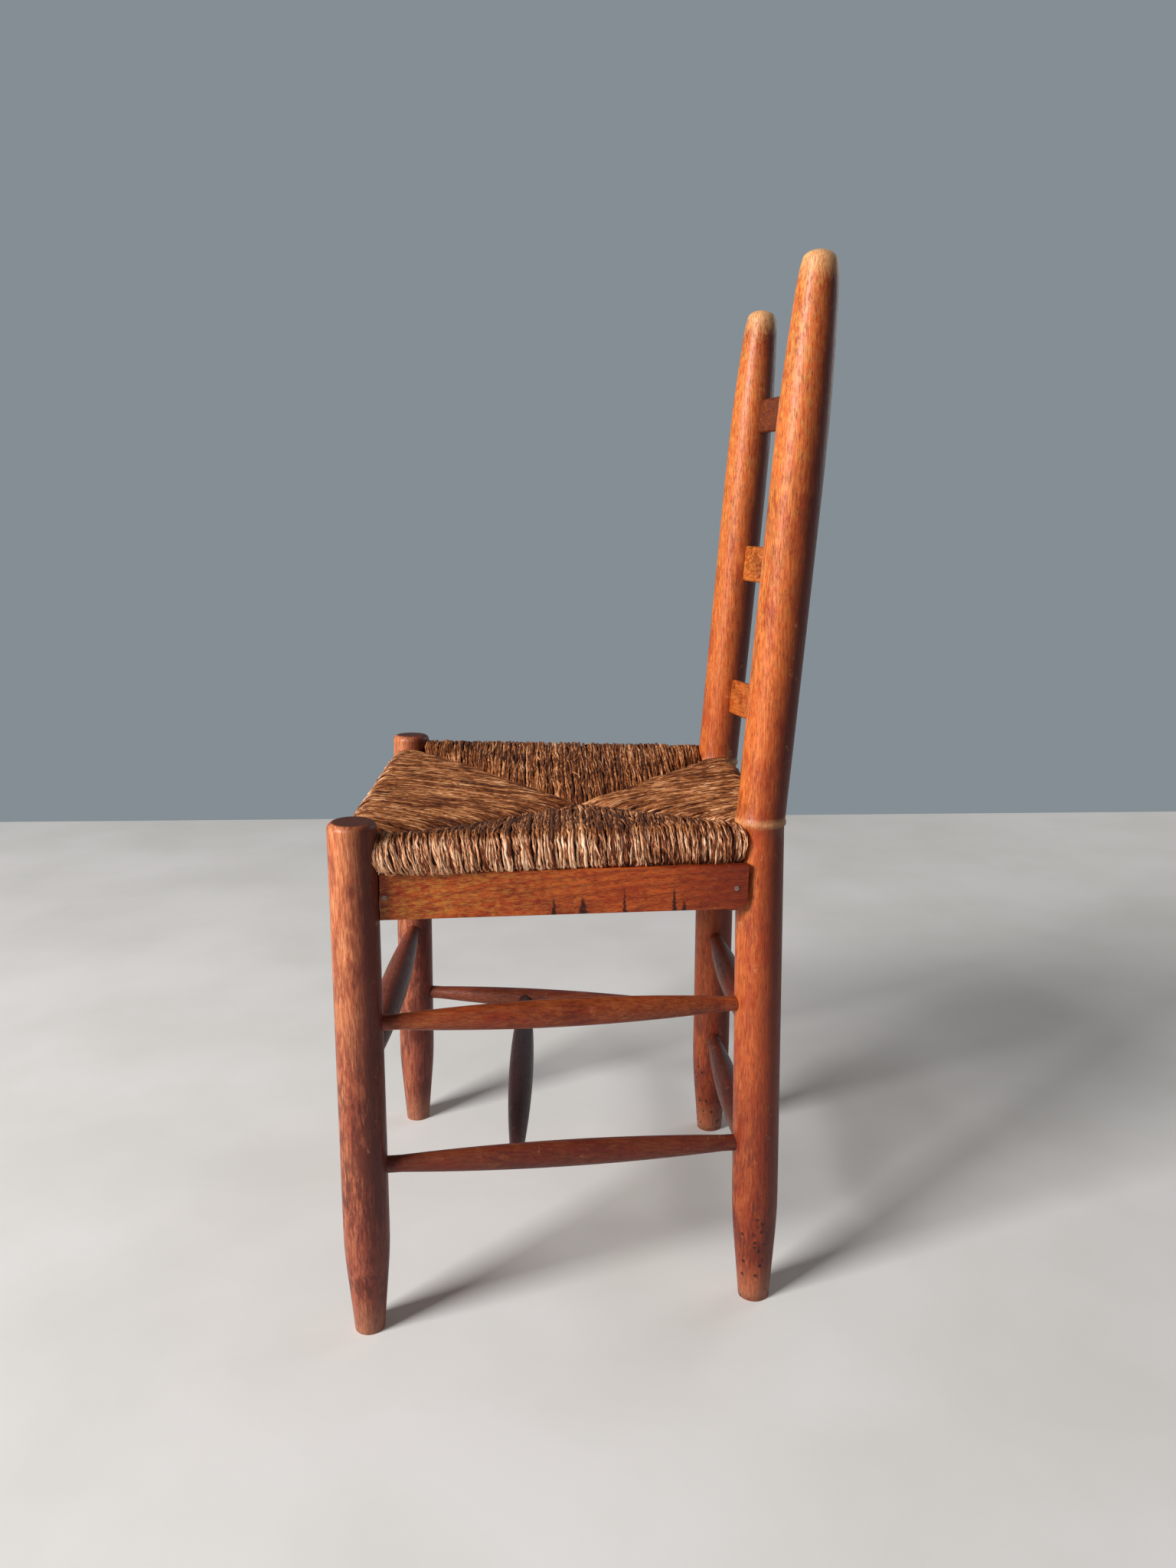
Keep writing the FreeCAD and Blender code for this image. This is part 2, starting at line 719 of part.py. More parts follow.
# Front and back aprons, across the chair between the side aprons
cross_boards = {}
for name, carrier, point, radius, way, middle in (
    ("front", "front_leg_", leg_point, mm("front_leg_radius"), 1, apron_height_at(0.0)),
    ("back", "back_post_", post_point, mm("back_post_radius"), -1, apron_height_at(1.0)),
):
    middle -= mm("cross_apron_drop")
    bearing = bearing_depth(point, radius, way)
    inner = bearing + way * mm("apron_thickness")
    low_y, high_y = sorted((bearing, inner))
    low_x = side_x(low_y, -half_thick) - mm("seat_gap")
    high_x = side_x(high_y, -half_thick) - mm("seat_gap")
    plan = [
        (-low_x, low_y, None),
        (low_x, low_y, None),
        (high_x, high_y, None),
        (-high_x, high_y, None),
    ]
    board = sawn_body("apron_%s_sawn" % name, "XY_Plane", plan, SIZE["apron_height"])
    board.Placement = placed(Vector(0, 0, middle))
    round_edges(board, SIZE["apron_edge_round"], lambda edge: edge.Length > point.x)
    cross_boards[name] = (board, (low_y + high_y) / 2.0, middle)
    for word, side in SIDES:
        nail_x = min(point.x, high_x, low_x) - mm("nail_inset")
        head = Vector(side * nail_x, inner, middle)
        boards = (apron_cutters[name], cutters_for[carrier + word])
        drive_nail("apron_%s_nail_%s" % (name, word), head, Vector(0, -way, 0), boards)

# Side aprons, each nailed into the ends of the other two
for word, side in SIDES:
    label = "apron_" + word
    low_edge = -SIZE["apron_height"] * 0.5
    high_edge = SIZE["apron_height"] * 0.5
    length = Size(side_length)
    chamfer = SIZE["side_apron_chamfer"]
    face = [
        (0.0, low_edge, None),
        (length - chamfer, low_edge, None),
        (length, low_edge + chamfer, None),
        (length, high_edge, None),
        (0.0, high_edge, None),
    ]
    board = sawn_body(label + "_sawn", "XZ_Plane", face, SIZE["apron_thickness"])
    turn = Rotation(Vector(0, 0, 1), side_turn if side > 0 else 180.0 - side_turn)
    fall = Rotation(Vector(0, 1, 0), side_fall)
    start = Vector(side * side_start.x, side_start.y, apron_middle)
    board.Placement = placed(start, turn.multiply(fall))
    round_edges(board, SIZE["apron_edge_round"], lambda edge: edge.Length > side_length / 2.0)
    for end_name in ("front", "back"):
        middle_y = cross_boards[end_name][1]
        grip = (mm("nail_length") - mm("apron_thickness")) / 2.0
        aim = Vector(side_x(middle_y, -half_thick), middle_y, 0) - side_out * grip
        head = aim + side_out * (grip + mm("apron_thickness"))
        share = (head.y - side_start.y) / (side_end.y - side_start.y)
        head = Vector(side * head.x, head.y, apron_height_at(share))
        inwards = Vector(-side * side_out.x, -side_out.y, 0)
        boards = (apron_cutters[word], apron_cutters[end_name])
        drive_nail("%s_nail_%s" % (label, end_name), head, inwards, boards)
    keep(label, cut(label, board, apron_cutters[word]))

for name, (board, depth, middle) in cross_boards.items():
    label = "apron_" + name
    keep(label, cut(label, board, apron_cutters[name]))

nail_group = doc.addObject("Part::Compound", "apron_nails")
nail_group.Links = nails
keep("apron_nails", nail_group)


# Front legs and back posts, turned, then bored and slotted


def foot_corners(foot_radius, shaft_radius, taper_height):
    """The foot's half outline: a straight cone that an arc leads to the shaft."""
    step = SIZE["foot_cone_step"]
    cone_height = SIZE["foot_cone_height"]
    arc_radius = arc_through(taper_height - cone_height, step)
    return [
        (0.0, -LEG_END_SURPLUS, None),
        (foot_radius, -LEG_END_SURPLUS, None),
        (foot_radius, 0.0, None),
        (shaft_radius - step, cone_height, arc_radius),
        (shaft_radius, taper_height, None),
    ]


for word, side in SIDES:
    label = "front_leg_" + word
    foot = front_axis(side, 0.0)
    crown = front_axis(side, SIZE["front_leg_height"])
    length = distance(foot, crown)
    radius = SIZE["front_leg_radius"]
    corners = foot_corners(SIZE["front_foot_radius"], radius, SIZE["front_taper_height"])
    corners += [(radius, length, None), (0.0, length, None)]
    leg = turned_body(label + "_turned", corners)
    leg.Placement = along(vector(foot), vector(crown))
    rim = mm("front_leg_height") - mm("front_top_round")
    round_edges(leg, SIZE["front_top_round"], lambda edge: edge.BoundBox.ZMin > rim)
    cutters_for[label].append(floor_cutter(label + "_floor"))
    keep(label, cut(label, leg, cutters_for[label]))

for word, side in SIDES:
    label = "back_post_" + word
    foot = back_axis(side, 0.0)
    bend = back_axis(side, SIZE["bend_height"])
    tip = back_axis(side, SIZE["back_post_height"])

    radius = SIZE["back_post_radius"]
    length = distance(foot, bend)
    half_ring = SIZE["ring_height"] * 0.5
    ring_arc = arc_through(half_ring, SIZE["ring_proud"])
    corners = foot_corners(SIZE["back_foot_radius"], radius, SIZE["back_taper_height"])
    corners += [
        (radius, length - half_ring, ring_arc),
        (radius, length + half_ring, None),
        (0.0, length + half_ring, None),
    ]
    lower = turned_body(label + "_lower", corners)
    lower.Placement = along(vector(foot), vector(bend))

    radius = SIZE["back_upper_radius"]
    length = distance(bend, tip)
    shoulder = SIZE["tip_shoulder_radius"]
    taper_rise = SIZE["tip_taper_length"] - SIZE["tip_shoulder_length"]
    taper_arc = arc_through(taper_rise, radius - shoulder)
    cap_radius = SIZE["tip_cap_radius"]
    cap_length = SIZE["tip_cap_length"]
    cap_arc = arc_through(cap_radius, cap_length)
    shoulder_arc = (SIZE["tip_shoulder_length"] - cap_length) * 2.0
    corners = [
        (0.0, 0.0, None),
        (radius, 0.0, None),
        (radius, length - SIZE["tip_taper_length"], taper_arc),
        (shoulder, length - SIZE["tip_shoulder_length"], shoulder_arc),
        (cap_radius, length - cap_length, cap_arc),
        (0.0, length, None),
    ]
    upper = turned_body(label + "_upper", corners)
    upper.Placement = along(vector(bend), vector(tip))

    post = fused(label + "_bent", [lower, upper])
    cutters_for[label].append(floor_cutter(label + "_floor"))
    keep(label, cut(label, post, cutters_for[label]))


# Rush seat: four woven fields that roll over the rails and meet in a valley

rush_centre_top = rail_height.value - mm("rush_centre_drop")
rush_centre = Vector(0, mm("rush_centre_depth"), rush_centre_top)
rush_centre_base = rush_centre - Vector(0, 0, mm("rush_centre_thickness"))
front_roll = mm("rail_radius") + mm("rush_front_layer")
back_roll = mm("rail_radius") + mm("rush_back_layer")
rush_corners = [
    (vector(front_axis(1, rail_height)), front_roll),
    (vector(back_axis(1, back_rail_height)), back_roll),
    (vector(back_axis(-1, back_rail_height)), back_roll),
    (vector(front_axis(-1, rail_height)), front_roll),
]


def solid_from(faces):
    """A solid closed by flat faces, each given by its corner points."""
    shell = Part.Shell([Part.Face(Part.makePolygon(face + face[:1])) for face in faces])
    solid = Part.Solid(shell)
    if solid.Volume < 0:
        solid.reverse()
    return solid


def woven_fields():
    """The four fields inside the rolls, crowned between each rail and the centre."""
    tops = []
    bases = []
    for point, radius in rush_corners:
        inner = point + unit(level(rush_centre - point)) * mm("rush_field_inset")
        tops.append(inner + Vector(0, 0, radius - mm("rush_roll_proud")))
        bases.append(inner - Vector(0, 0, radius - mm("rush_roll_proud")))
    faces = []
    for index in range(len(rush_corners)):
        after = (index + 1) % len(rush_corners)
        crown = (tops[index] + tops[after] + rush_centre) * (1.0 / 3.0)
        crown += Vector(0, 0, mm("rush_field_rise"))
        faces.append([tops[index], tops[after], crown])
        faces.append([tops[after], rush_centre, crown])
        faces.append([rush_centre, tops[index], crown])
        faces.append([bases[after], bases[index], rush_centre_base])
        faces.append([tops[index], bases[index], bases[after], tops[after]])
    return solid_from(faces)


def roll_between(first, second, slimmer):
    """The rush rolled over one rail, from leg to leg."""
    (start, start_radius), (end, end_radius) = first, second
    run = end - start
    start_radius -= slimmer
    end_radius -= slimmer
    if start_radius == end_radius:
        return Part.makeCylinder(start_radius, run.Length, start, run)
    return Part.makeCone(start_radius, end_radius, run.Length, start, run)


def bore(start, end, radius):
    """Room for a stick through the rush."""
    run = end - start
    return Part.makeCylinder(radius + mm("rush_clearance"), run.Length, start, run)


rush = woven_fields()
rush_bores = []
for index, corner in enumerate(rush_corners):
    following = rush_corners[(index + 1) % len(rush_corners)]
    slimmer = mm("rush_side_slimmer") if index % 2 == 0 else 0.0
    rush = rush.fuse(roll_between(corner, following, slimmer))
    rush_bores.append(bore(corner[0], following[0], mm("rail_radius")))
for word, side in SIDES:
    foot = vector(front_axis(side, 0.0))
    crown = vector(front_axis(side, SIZE["front_leg_height"]))
    rush_bores.append(bore(foot, crown, mm("front_leg_radius")))
    foot = vector(back_axis(side, 0.0))
    bend = vector(back_axis(side, SIZE["bend_height"]))
    tip = vector(back_axis(side, SIZE["back_post_height"]))
    ring_radius = mm("back_post_radius") + mm("ring_proud")
    rush_bores.append(bore(foot, bend, ring_radius))
    rush_bores.append(bore(bend, tip, ring_radius))

rush_seat = doc.addObject("Part::Feature", "rush_seat")
rush_seat.Shape = rush.cut(rush_bores)
rush_seat.Placement = placed(Vector())
keep("rush_seat", rush_seat)


# Checks on every object, then one file for each sub-part

doc.recompute()
for item in doc.Objects:
    if "Invalid" in item.State or "Error" in item.State:
        raise RuntimeError("%s did not build: %s" % (item.Label, item.State))
for label, item in finished:
    if item.Shape.isNull() or not item.Shape.isValid():
        raise RuntimeError("%s has no valid shape" % label)

os.makedirs(PARTS_FOLDER, exist_ok=True)
box = FreeCAD.BoundBox()
for label, item in finished:
    item.Shape.exportStep(os.path.join(PARTS_FOLDER, label + ".step"))
    box.add(item.Shape.BoundBox)
    print("%-24s %2d solid(s) %10.0f mm3" % (label, len(item.Shape.Solids), item.Shape.Volume))
print("width %.1f, depth %.1f, height %.1f" % (box.XLength, box.YLength, box.ZLength))
print("middle of the footprint at %.2f, %.2f" % (box.Center.x, box.Center.y))
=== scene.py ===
"""Looks of an old ladderback dining chair: oiled turned wood round a woven rush seat.

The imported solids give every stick, slat and board its place. The wooden pieces keep their
solids and get their finish here, apart from the two posts, which are turned again with a finer
tip. The seat is woven strand by strand in place of its plain solid. Sizes are in millimetres in
the classes and become metres where a mesh is made.
"""

import logging
import math
from collections.abc import Callable
from dataclasses import dataclass, replace
from enum import Enum
from functools import partial, reduce

import bmesh
import bpy
import numpy as np
from mathutils import Matrix, Vector


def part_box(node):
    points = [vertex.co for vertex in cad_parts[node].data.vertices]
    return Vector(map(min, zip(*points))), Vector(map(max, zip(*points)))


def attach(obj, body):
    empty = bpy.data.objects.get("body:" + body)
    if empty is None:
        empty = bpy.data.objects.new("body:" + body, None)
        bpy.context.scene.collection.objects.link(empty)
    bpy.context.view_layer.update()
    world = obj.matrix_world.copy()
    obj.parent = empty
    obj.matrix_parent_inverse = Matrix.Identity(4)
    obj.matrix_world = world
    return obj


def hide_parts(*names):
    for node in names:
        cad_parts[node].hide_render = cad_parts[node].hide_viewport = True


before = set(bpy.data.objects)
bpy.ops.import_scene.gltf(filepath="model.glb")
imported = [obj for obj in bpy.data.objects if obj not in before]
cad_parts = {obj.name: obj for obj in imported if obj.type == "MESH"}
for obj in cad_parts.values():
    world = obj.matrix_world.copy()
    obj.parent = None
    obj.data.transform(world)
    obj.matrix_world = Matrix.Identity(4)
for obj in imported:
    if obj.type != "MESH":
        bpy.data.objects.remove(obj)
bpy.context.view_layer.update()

MM = 0.001
LOG = logging.getLogger("chair")
BODY = "root"


# ---------------------------------------------------------------- nodes

# What feeds an input; add_node says how it reads each of them.
Feed = bpy.types.Node | bpy.types.NodeSocket | tuple | list | float | str

# Nodes that are called by a word: their class, the inputs that values fill, and their settings.
NODES = {
    "ramp": ("ShaderNodeValToRGB", (0,), {}),
    "mix": ("ShaderNodeMix", (0, 6, 7), {"data_type": "RGBA"}),
    "climb": ("ShaderNodeMapRange", (0, 1, 2), {}),
    "noise": ("ShaderNodeTexNoise", ("Vector", "Scale", "Detail", "Roughness"), {}),
    "bump": ("ShaderNodeBump", ("Height", "Strength", "Distance"), {}),
    "split": ("ShaderNodeSeparateXYZ", (0,), {}),
    "stretch": ("ShaderNodeVectorMath", (0, 1), {"operation": "MULTIPLY"}),
}


def linear(code: str) -> tuple[float, float, float, float]:
    """Turns an sRGB hex colour into the linear colour that a socket takes.

    Args:
        code: A colour such as "#A2502E".

    Returns:
        Red, green, blue and an alpha of one.
    """
    parts = [int(code[i : i + 2], 16) / 255 for i in (1, 3, 5)]
    red, green, blue = (c / 12.92 if c <= 0.04045 else ((c + 0.055) / 1.055) ** 2.4 for c in parts)
    return red, green, blue, 1.0


def add_node(
    tree: bpy.types.NodeTree,
    kind: str,
    *values: Feed,
    inputs: dict | None = None,
    **settings: str,
) -> bpy.types.Node:
    """Adds one node with its settings, its values and its links.

    A value is a number, a vector, a hex colour, a socket, a node, or a recipe: a tuple that
    starts with a kind and holds that node's values. A recipe's node is added first.

    Args:
        tree: The node tree that gets the node.
        kind: A word of NODES, a sum in capitals such as MULTIPLY, or a node's class name.
        values: Values for its inputs, in the order that NODES gives. A ramp's own value is
            followed by its stops, each a place and a grey value or a hex colour.
        inputs: Values by the name or number of the input.
        settings: Attributes of the node, such as its operation.

    Returns:
        The new node.
    """
    name, keys, preset = NODES.get(kind, (kind, (), {}))
    if kind.isupper():
        name, keys, preset = "ShaderNodeMath", (0, 1, 2), {"operation": kind}
    made = tree.nodes.new(name)
    for attribute, setting in {**preset, **settings}.items():
        setattr(made, attribute, setting)
    for index, (place, tint) in enumerate(values[len(keys) :]):
        elements = made.color_ramp.elements
        element = elements[index] if index < 2 else elements.new(place)
        element.position = place
        element.color = linear(tint) if isinstance(tint, str) else (tint, tint, tint, 1.0)
    for key, value in {**dict(zip(keys, values)), **(inputs or {})}.items():
        if isinstance(value, tuple) and isinstance(value[0], str):
            value = add_node(tree, *value)
        if isinstance(value, bpy.types.Node):
            value = value.outputs[2 if value.bl_idname == "ShaderNodeMix" else 0]
        if isinstance(value, bpy.types.NodeSocket):
            tree.links.new(value, made.inputs[key])
        else:
            is_colour = isinstance(value, str) and value.startswith("#")
            made.inputs[key].default_value = linear(value) if is_colour else value
    return made


def product(*parts: Feed) -> tuple:
    """A recipe for the parts multiplied with each other, from the first on."""
    return reduce(lambda first, second: ("MULTIPLY", first, second), parts)


def total(*pairs: tuple) -> tuple:
    """A recipe for a sum of parts, each given with its weight."""
    return reduce(lambda first, second: ("ADD", first, second), [product(*p) for p in pairs])


def flecks(
    add: Callable, place: Feed, wide_mm: float, along: float, detail: float, rough: float = 0.5
) -> bpy.types.Node:
    """Adds a noise pattern of a real size.

    Args:
        add: add_node for the material's tree.
        place: The coordinates that it reads.
        wide_mm: How wide its flecks are.
        along: How many times as long they are as wide.
        detail: How many finer layers it has.
        rough: How strong the finer layers are.

    Returns:
        The noise, from zero to one.
    """
    scale = 1 / (wide_mm * MM)
    return add("noise", ("stretch", place, (scale, scale, scale / along)), 1.0, detail, rough)


def new_material(name: str) -> tuple[bpy.types.Material, Callable, bpy.types.NodeOutputs]:
    """Starts a node material.

    Args:
        name: Its name.

    Returns:
        The empty material, add_node for its tree, and the coordinates that it can read.
    """
    material = bpy.data.materials.new(name)
    material.use_nodes = True
    material.node_tree.nodes.clear()
    add = partial(add_node, material.node_tree)
    return material, add, add("ShaderNodeTexCoord").outputs


def end_material(material: bpy.types.Material, add: Callable, inputs: dict) -> bpy.types.Material:
    """Ends a material with its surface.

    Args:
        material: The material.
        add: add_node for its tree.
        inputs: What the surface's shader gets.

    Returns:
        The finished material.
    """
    shader = add("ShaderNodeBsdfPrincipled", inputs=inputs)
    add("ShaderNodeOutputMaterial", inputs={"Surface": shader})
    return material


def put_in_scene(name: str, data: bpy.types.ID) -> bpy.types.Object:
    """An object of that name, at the origin, that shows the mesh, lamp or camera."""
    made = bpy.data.objects.new(name, data)
    bpy.context.scene.collection.objects.link(made)
    return made


def shape_in_scene(name: str, shape: bmesh.types.BMesh) -> bpy.types.Object:
    """Turns a shape's faces outwards and lays it in the scene.

    Args:
        name: The object's name.
        shape: The shape, which is used up.

    Returns:
        The object.
    """
    bmesh.ops.recalc_face_normals(shape, faces=shape.faces)
    mesh = bpy.data.meshes.new(name)
    shape.to_mesh(mesh)
    shape.free()
    return put_in_scene(name, mesh)


# ---------------------------------------------------------------- finishes


class Grain(Enum):
    """Which way the fibres of a piece run. The value turns that way upright."""

    UPRIGHT = (0.0, 0.0, 0.0)
    SIDEWAYS = (0.0, -math.pi / 2, 0.0)
    DEPTHWISE = (math.pi / 2, 0.0, 0.0)


@dataclass(frozen=True)
class OiledWood:
    """Old fruitwood, turned or sawn, oiled and handled for decades.

    The oil leaves a soft gloss over short dark pores. The surface is mottled: golden where it is
    rubbed, red where the stain has gathered, and darker towards the floor. The tips are rubbed
    pale. Shade is painted in too: the sides are redder and the back a deep red brown, so that
    the front looks lit.
    """

    name: str
    body: str
    sap: str
    heart: str
    low: str
    worn: str
    gold: str = "#E09A44"
    flush: str = "#AC340C"
    rear_shade: str = "#48120B"
    dirt: str = "#42120F"
    dust: str = "#A8795C"
    end_grain: str = "#301008"
    worm_hole: str = "#200A06"
    saw_cut_shade: str = "#1A0604"
    pore: str = "#2A0F08"
    grime: str = "#33120B"
    pore_mm: float = 1.1
    fibre_mm: float = 0.9
    streak_mm: float = 3.0
    ring_mm: float = 3.4
    mottle_mm: float = 4.2
    scuff_mm: float = 13.0
    stain_mm: float = 21.0
    blotch_mm: float = 36.0
    drift_mm: float = 60.0
    ring_slant: float = 0.03
    ring_depth: float = 0.24
    gold_share: float = 0.6
    gold_base: float = 0.2
    gold_to_mm: float = 5000.0
    line_share: float = 0.45
    rear_shade_share: float = 0.92
    side_shade_share: float = 0.3
    end_share: float = 0.0
    paler_above_mm: tuple[float, float] = (520.0, 840.0)
    low_from_mm: float = 520.0
    low_to_mm: float = 40.0
    low_share: float = 0.75
    foot_share: float = 0.5
    foot_from_mm: float = 190.0
    dust_mm: tuple[float, float] = (40.0, 4.0)
    tip_from_mm: float = 2000.0
    band_mm: float = -100.0
    band_half_mm: float = 5.2
    worm_mm: float = 0.0
    worms_per_metre: float = 150.0
    notches: tuple[tuple[float, float, float], ...] = ()
    notch_line: tuple[float, float] = (380.6, -0.0288)
    dark_end: tuple[float, float] = (2000.0, 2100.0)
    roughness: float = 0.42
    ior: float = 1.38
    coat: float = 0.04
    coat_roughness: float = 0.22
    relief_share: float = 0.4
    relief_mm: float = 0.5

    def material(
        self, piece: str, grain: Grain, pith: tuple[float, float, float]
    ) -> bpy.types.Material:
        """Builds the finish for one piece.

        Args:
            piece: The piece's own word in the material's name.
            grain: Which way its fibres run.
            pith: Where its growth rings are centred across the fibres, and its place along
                the log, in millimetres.

        Returns:
            The material.
        """
        material, add, given = new_material(f"{self.name}_{piece}")
        place = given["Object"]
        centre = [value * MM for value in pith]
        turned = add(
            "ShaderNodeMapping",
            inputs={"Vector": place, "Rotation": grain.value, "Location": centre},
        )
        _, depth, height = add("split", place).outputs
        _, facing_rear, facing_up = add("split", given["Normal"]).outputs

        # The fibres wander a little, so no line is ruled.
        drift = flecks(add, turned, self.drift_mm, 3.0, 2.0).outputs["Color"]
        warped = add(
            "ShaderNodeVectorMath",
            inputs={0: drift, 1: (0.013, 0.013, 0.05), 2: turned},
            operation="MULTIPLY_ADD",
        )

        # Growth rings round the pith, cut at a slant so that they run out along the piece.
        flat = ("stretch", warped, (1.0, 1.0, 0.0))
        radius = add("ShaderNodeVectorMath", inputs={0: flat}, operation="LENGTH").outputs[1]
        slant = product(add("split", warped).outputs[2], self.ring_slant)
        ring = ("FRACT", ("DIVIDE", ("ADD", radius, slant), self.ring_mm * MM))
        ring = add("ramp", ring, (0.0, 0.25), (0.12, 0.0), (0.55, 0.18), (0.86, 1.0), (1.0, 0.25))

        streak = flecks(add, warped, self.streak_mm, 7.0, 4.0, 0.65)
        fibre = flecks(add, warped, self.fibre_mm, 16.0, 2.0)
        pores = add("ramp", flecks(add, turned, self.pore_mm, 7.0, 1.0), (0.58, 0.0), (0.68, 1.0))
        blotch = flecks(add, turned, self.blotch_mm, 2.0, 5.0, 0.65)
        stain = flecks(add, turned, self.stain_mm, 2.6, 5.0, 0.7).outputs["Color"]
        stain = add("split", stain).outputs
        scuff = flecks(add, place, self.scuff_mm, 1.0, 6.0, 0.7)
        mottle = flecks(add, turned, self.mottle_mm, 1.9, 6.0, 0.75)
        waver = add("SUBTRACT", streak, 0.5)

        paler_above = add("climb", height, *(value * MM for value in self.paler_above_mm))
        flushed = ("ramp", stain[0], (0.50, 0.0), (0.62, 0.75))
        rubbed = product(
            ("ramp", mottle, (0.46, 0.0), (0.58, 1.0)),
            self.gold_share,
            ("ADD", product(paler_above, 0.8), self.gold_base),
            ("climb", depth, self.gold_to_mm * MM, (self.gold_to_mm - 120) * MM),
        )
        # Painted shade: how far a surface faces the back, where a deep red brown is painted in as
        # shade.
        rear_shade = ("climb", ("ADD", facing_rear, product(stain[1], 0.6)), -0.05, 0.80)
        foot = product(
            ("climb", height, self.foot_from_mm * MM, (self.foot_from_mm - 110) * MM),
            ("climb", height, 0.008, 0.045),
            ("ramp", total((stain[2], 0.6), (streak, 0.4)), (0.46, 1.0), (0.54, self.foot_share)),
        )
        tip = ("ADD", height, product(mottle, 0.02))
        tip = ("climb", tip, self.tip_from_mm * MM, (self.tip_from_mm + 26) * MM)
        band = ("ABSOLUTE", ("SUBTRACT", height, self.band_mm * MM))
        ends = add("MULTIPLY", ("climb", facing_up, 0.86, 0.99), self.end_share)

        # The layers of colour over the body, from the wood outwards: how much of what.
        layers = [
            (("ramp", streak, (0.35, 0.0), (0.66, 1.0)), self.sap),
            (product(ring, self.ring_depth), self.heart),
            (("SUBTRACT", flushed, product(paler_above, 0.35)), self.flush),
            (
                ("ramp", total((blotch, 0.7), (streak, 0.3)), (0.36, 0.85), (0.50, 0.0)),
                self.heart,
            ),
            (rubbed, self.gold),
            # Painted shade: the sides are painted redder and the back-facing side a deep red
            # brown, so that the front looks lit.
            (product(("climb", facing_rear, -0.8, 0.0), self.side_shade_share), self.flush),
            (product(rear_shade, self.rear_shade_share), self.rear_shade),
            # Lower down the colour is redder and duller, and the feet have taken up dirt.
            (
                product(
                    ("climb", height, self.low_from_mm * MM, self.low_to_mm * MM),
                    self.low_share * 0.72,
                ),
                self.low,
            ),
            (product(foot, 0.7), self.dirt),
            (product(("climb", height, *(value * MM for value in self.dust_mm)), 0.45), self.dust),
            # Hands have rubbed the top pale, and the ring at the seat's height too.
            (product(tip, 0.85), self.worn),
            (product(("climb", band, self.band_half_mm * MM, 0.0), 0.45), self.worn),
            # End grain drinks the oil and goes dark.
            (product(ends, 0.9), self.end_grain),
        ]
        if self.worm_mm:
            layers.append((self.worm_holes(add, place, height), self.worm_hole))
        # Towards one end a board turns darker than the rest.
        dark = ("ADD", depth, product(waver, 0.05))
        dark = ("climb", dark, *(value * MM for value in self.dark_end))
        layers.append((product(dark, 0.7), self.heart))
        # Painted shade: the saw cuts are painted near black for the dark seen through them.
        layers += [(cut, self.saw_cut_shade) for cut in self.saw_cuts(add, depth, height, waver)]
        layers += [
            (product(pores, 0.35), self.pore),
            (("ramp", fibre, (0.36, self.line_share), (0.50, 0.0)), self.heart),
            (("ramp", scuff, (0.62, 0.0), (0.74, 0.30)), self.worn),
            (("ramp", scuff, (0.28, 0.33), (0.40, 0.0)), self.grime),
        ]
        colour = self.body
        for share, tint in layers:
            colour = add("mix", share, colour, tint)

        gloss = total((scuff, 0.22), (pores, 0.12), (ends, 0.3))
        relief = total((fibre, 0.5), (pores, -0.9), (scuff, 0.8), (ring, -0.25))
        surface = {
            "Base Color": colour,
            "Roughness": ("ADD", gloss, self.roughness - 0.10),
            "IOR": self.ior,
            "Coat Weight": self.coat,
            "Coat Roughness": self.coat_roughness,
            "Normal": ("bump", relief, self.relief_share, self.relief_mm * MM),
        }
        return end_material(material, add, surface)

    def worm_holes(self, add: Callable, place: Feed, height: Feed) -> tuple:
        """Worm holes, 2 mm wide, in the lowest part.

        Args:
            add: add_node for the material's tree.
            place: The piece's coordinates.
            height: The height above the floor.

        Returns:
            A recipe that is one in a hole and zero beside it, times its strength.
        """
        where = {"Vector": place, "Scale": self.worms_per_metre}
        cells = add("ShaderNodeTexVoronoi", inputs=where).outputs
        top = self.worm_mm * MM
        return product(
            ("climb", cells["Distance"], 0.30, 0.24),
            ("climb", ("split", cells["Color"]), 0.40, 0.41),
            ("climb", height, top, top - 0.01),
            0.9,
        )

    def saw_cuts(self, add: Callable, depth: Feed, height: Feed, waver: Feed) -> list[tuple]:
        """Old saw cuts that run up from a board's lower edge, painted near black as shade.

        Args:
            add: add_node for the material's tree.
            depth: The place from front to back.
            height: The height above the floor.
            waver: How far the fibres pull a cut's sides about.

        Returns:
            A recipe for each cut, one where it is deepest.
        """
        start, slope = self.notch_line
        lift = add("SUBTRACT", height, ("ADD", product(depth, slope), start * MM))
        cuts = []
        for where, tall, wide in self.notches:
            aside = ("SUBTRACT", ("ADD", depth, product(waver, 0.006)), where * MM)
            aside = ("ADD", ("ABSOLUTE", aside), product(lift, 0.8 * wide / tall))
            side = ("climb", aside, wide * MM, 0.6 * wide * MM)
            cuts.append(product(side, 0.95, ("climb", lift, tall * MM, (tall - 5) * MM)))
        return cuts


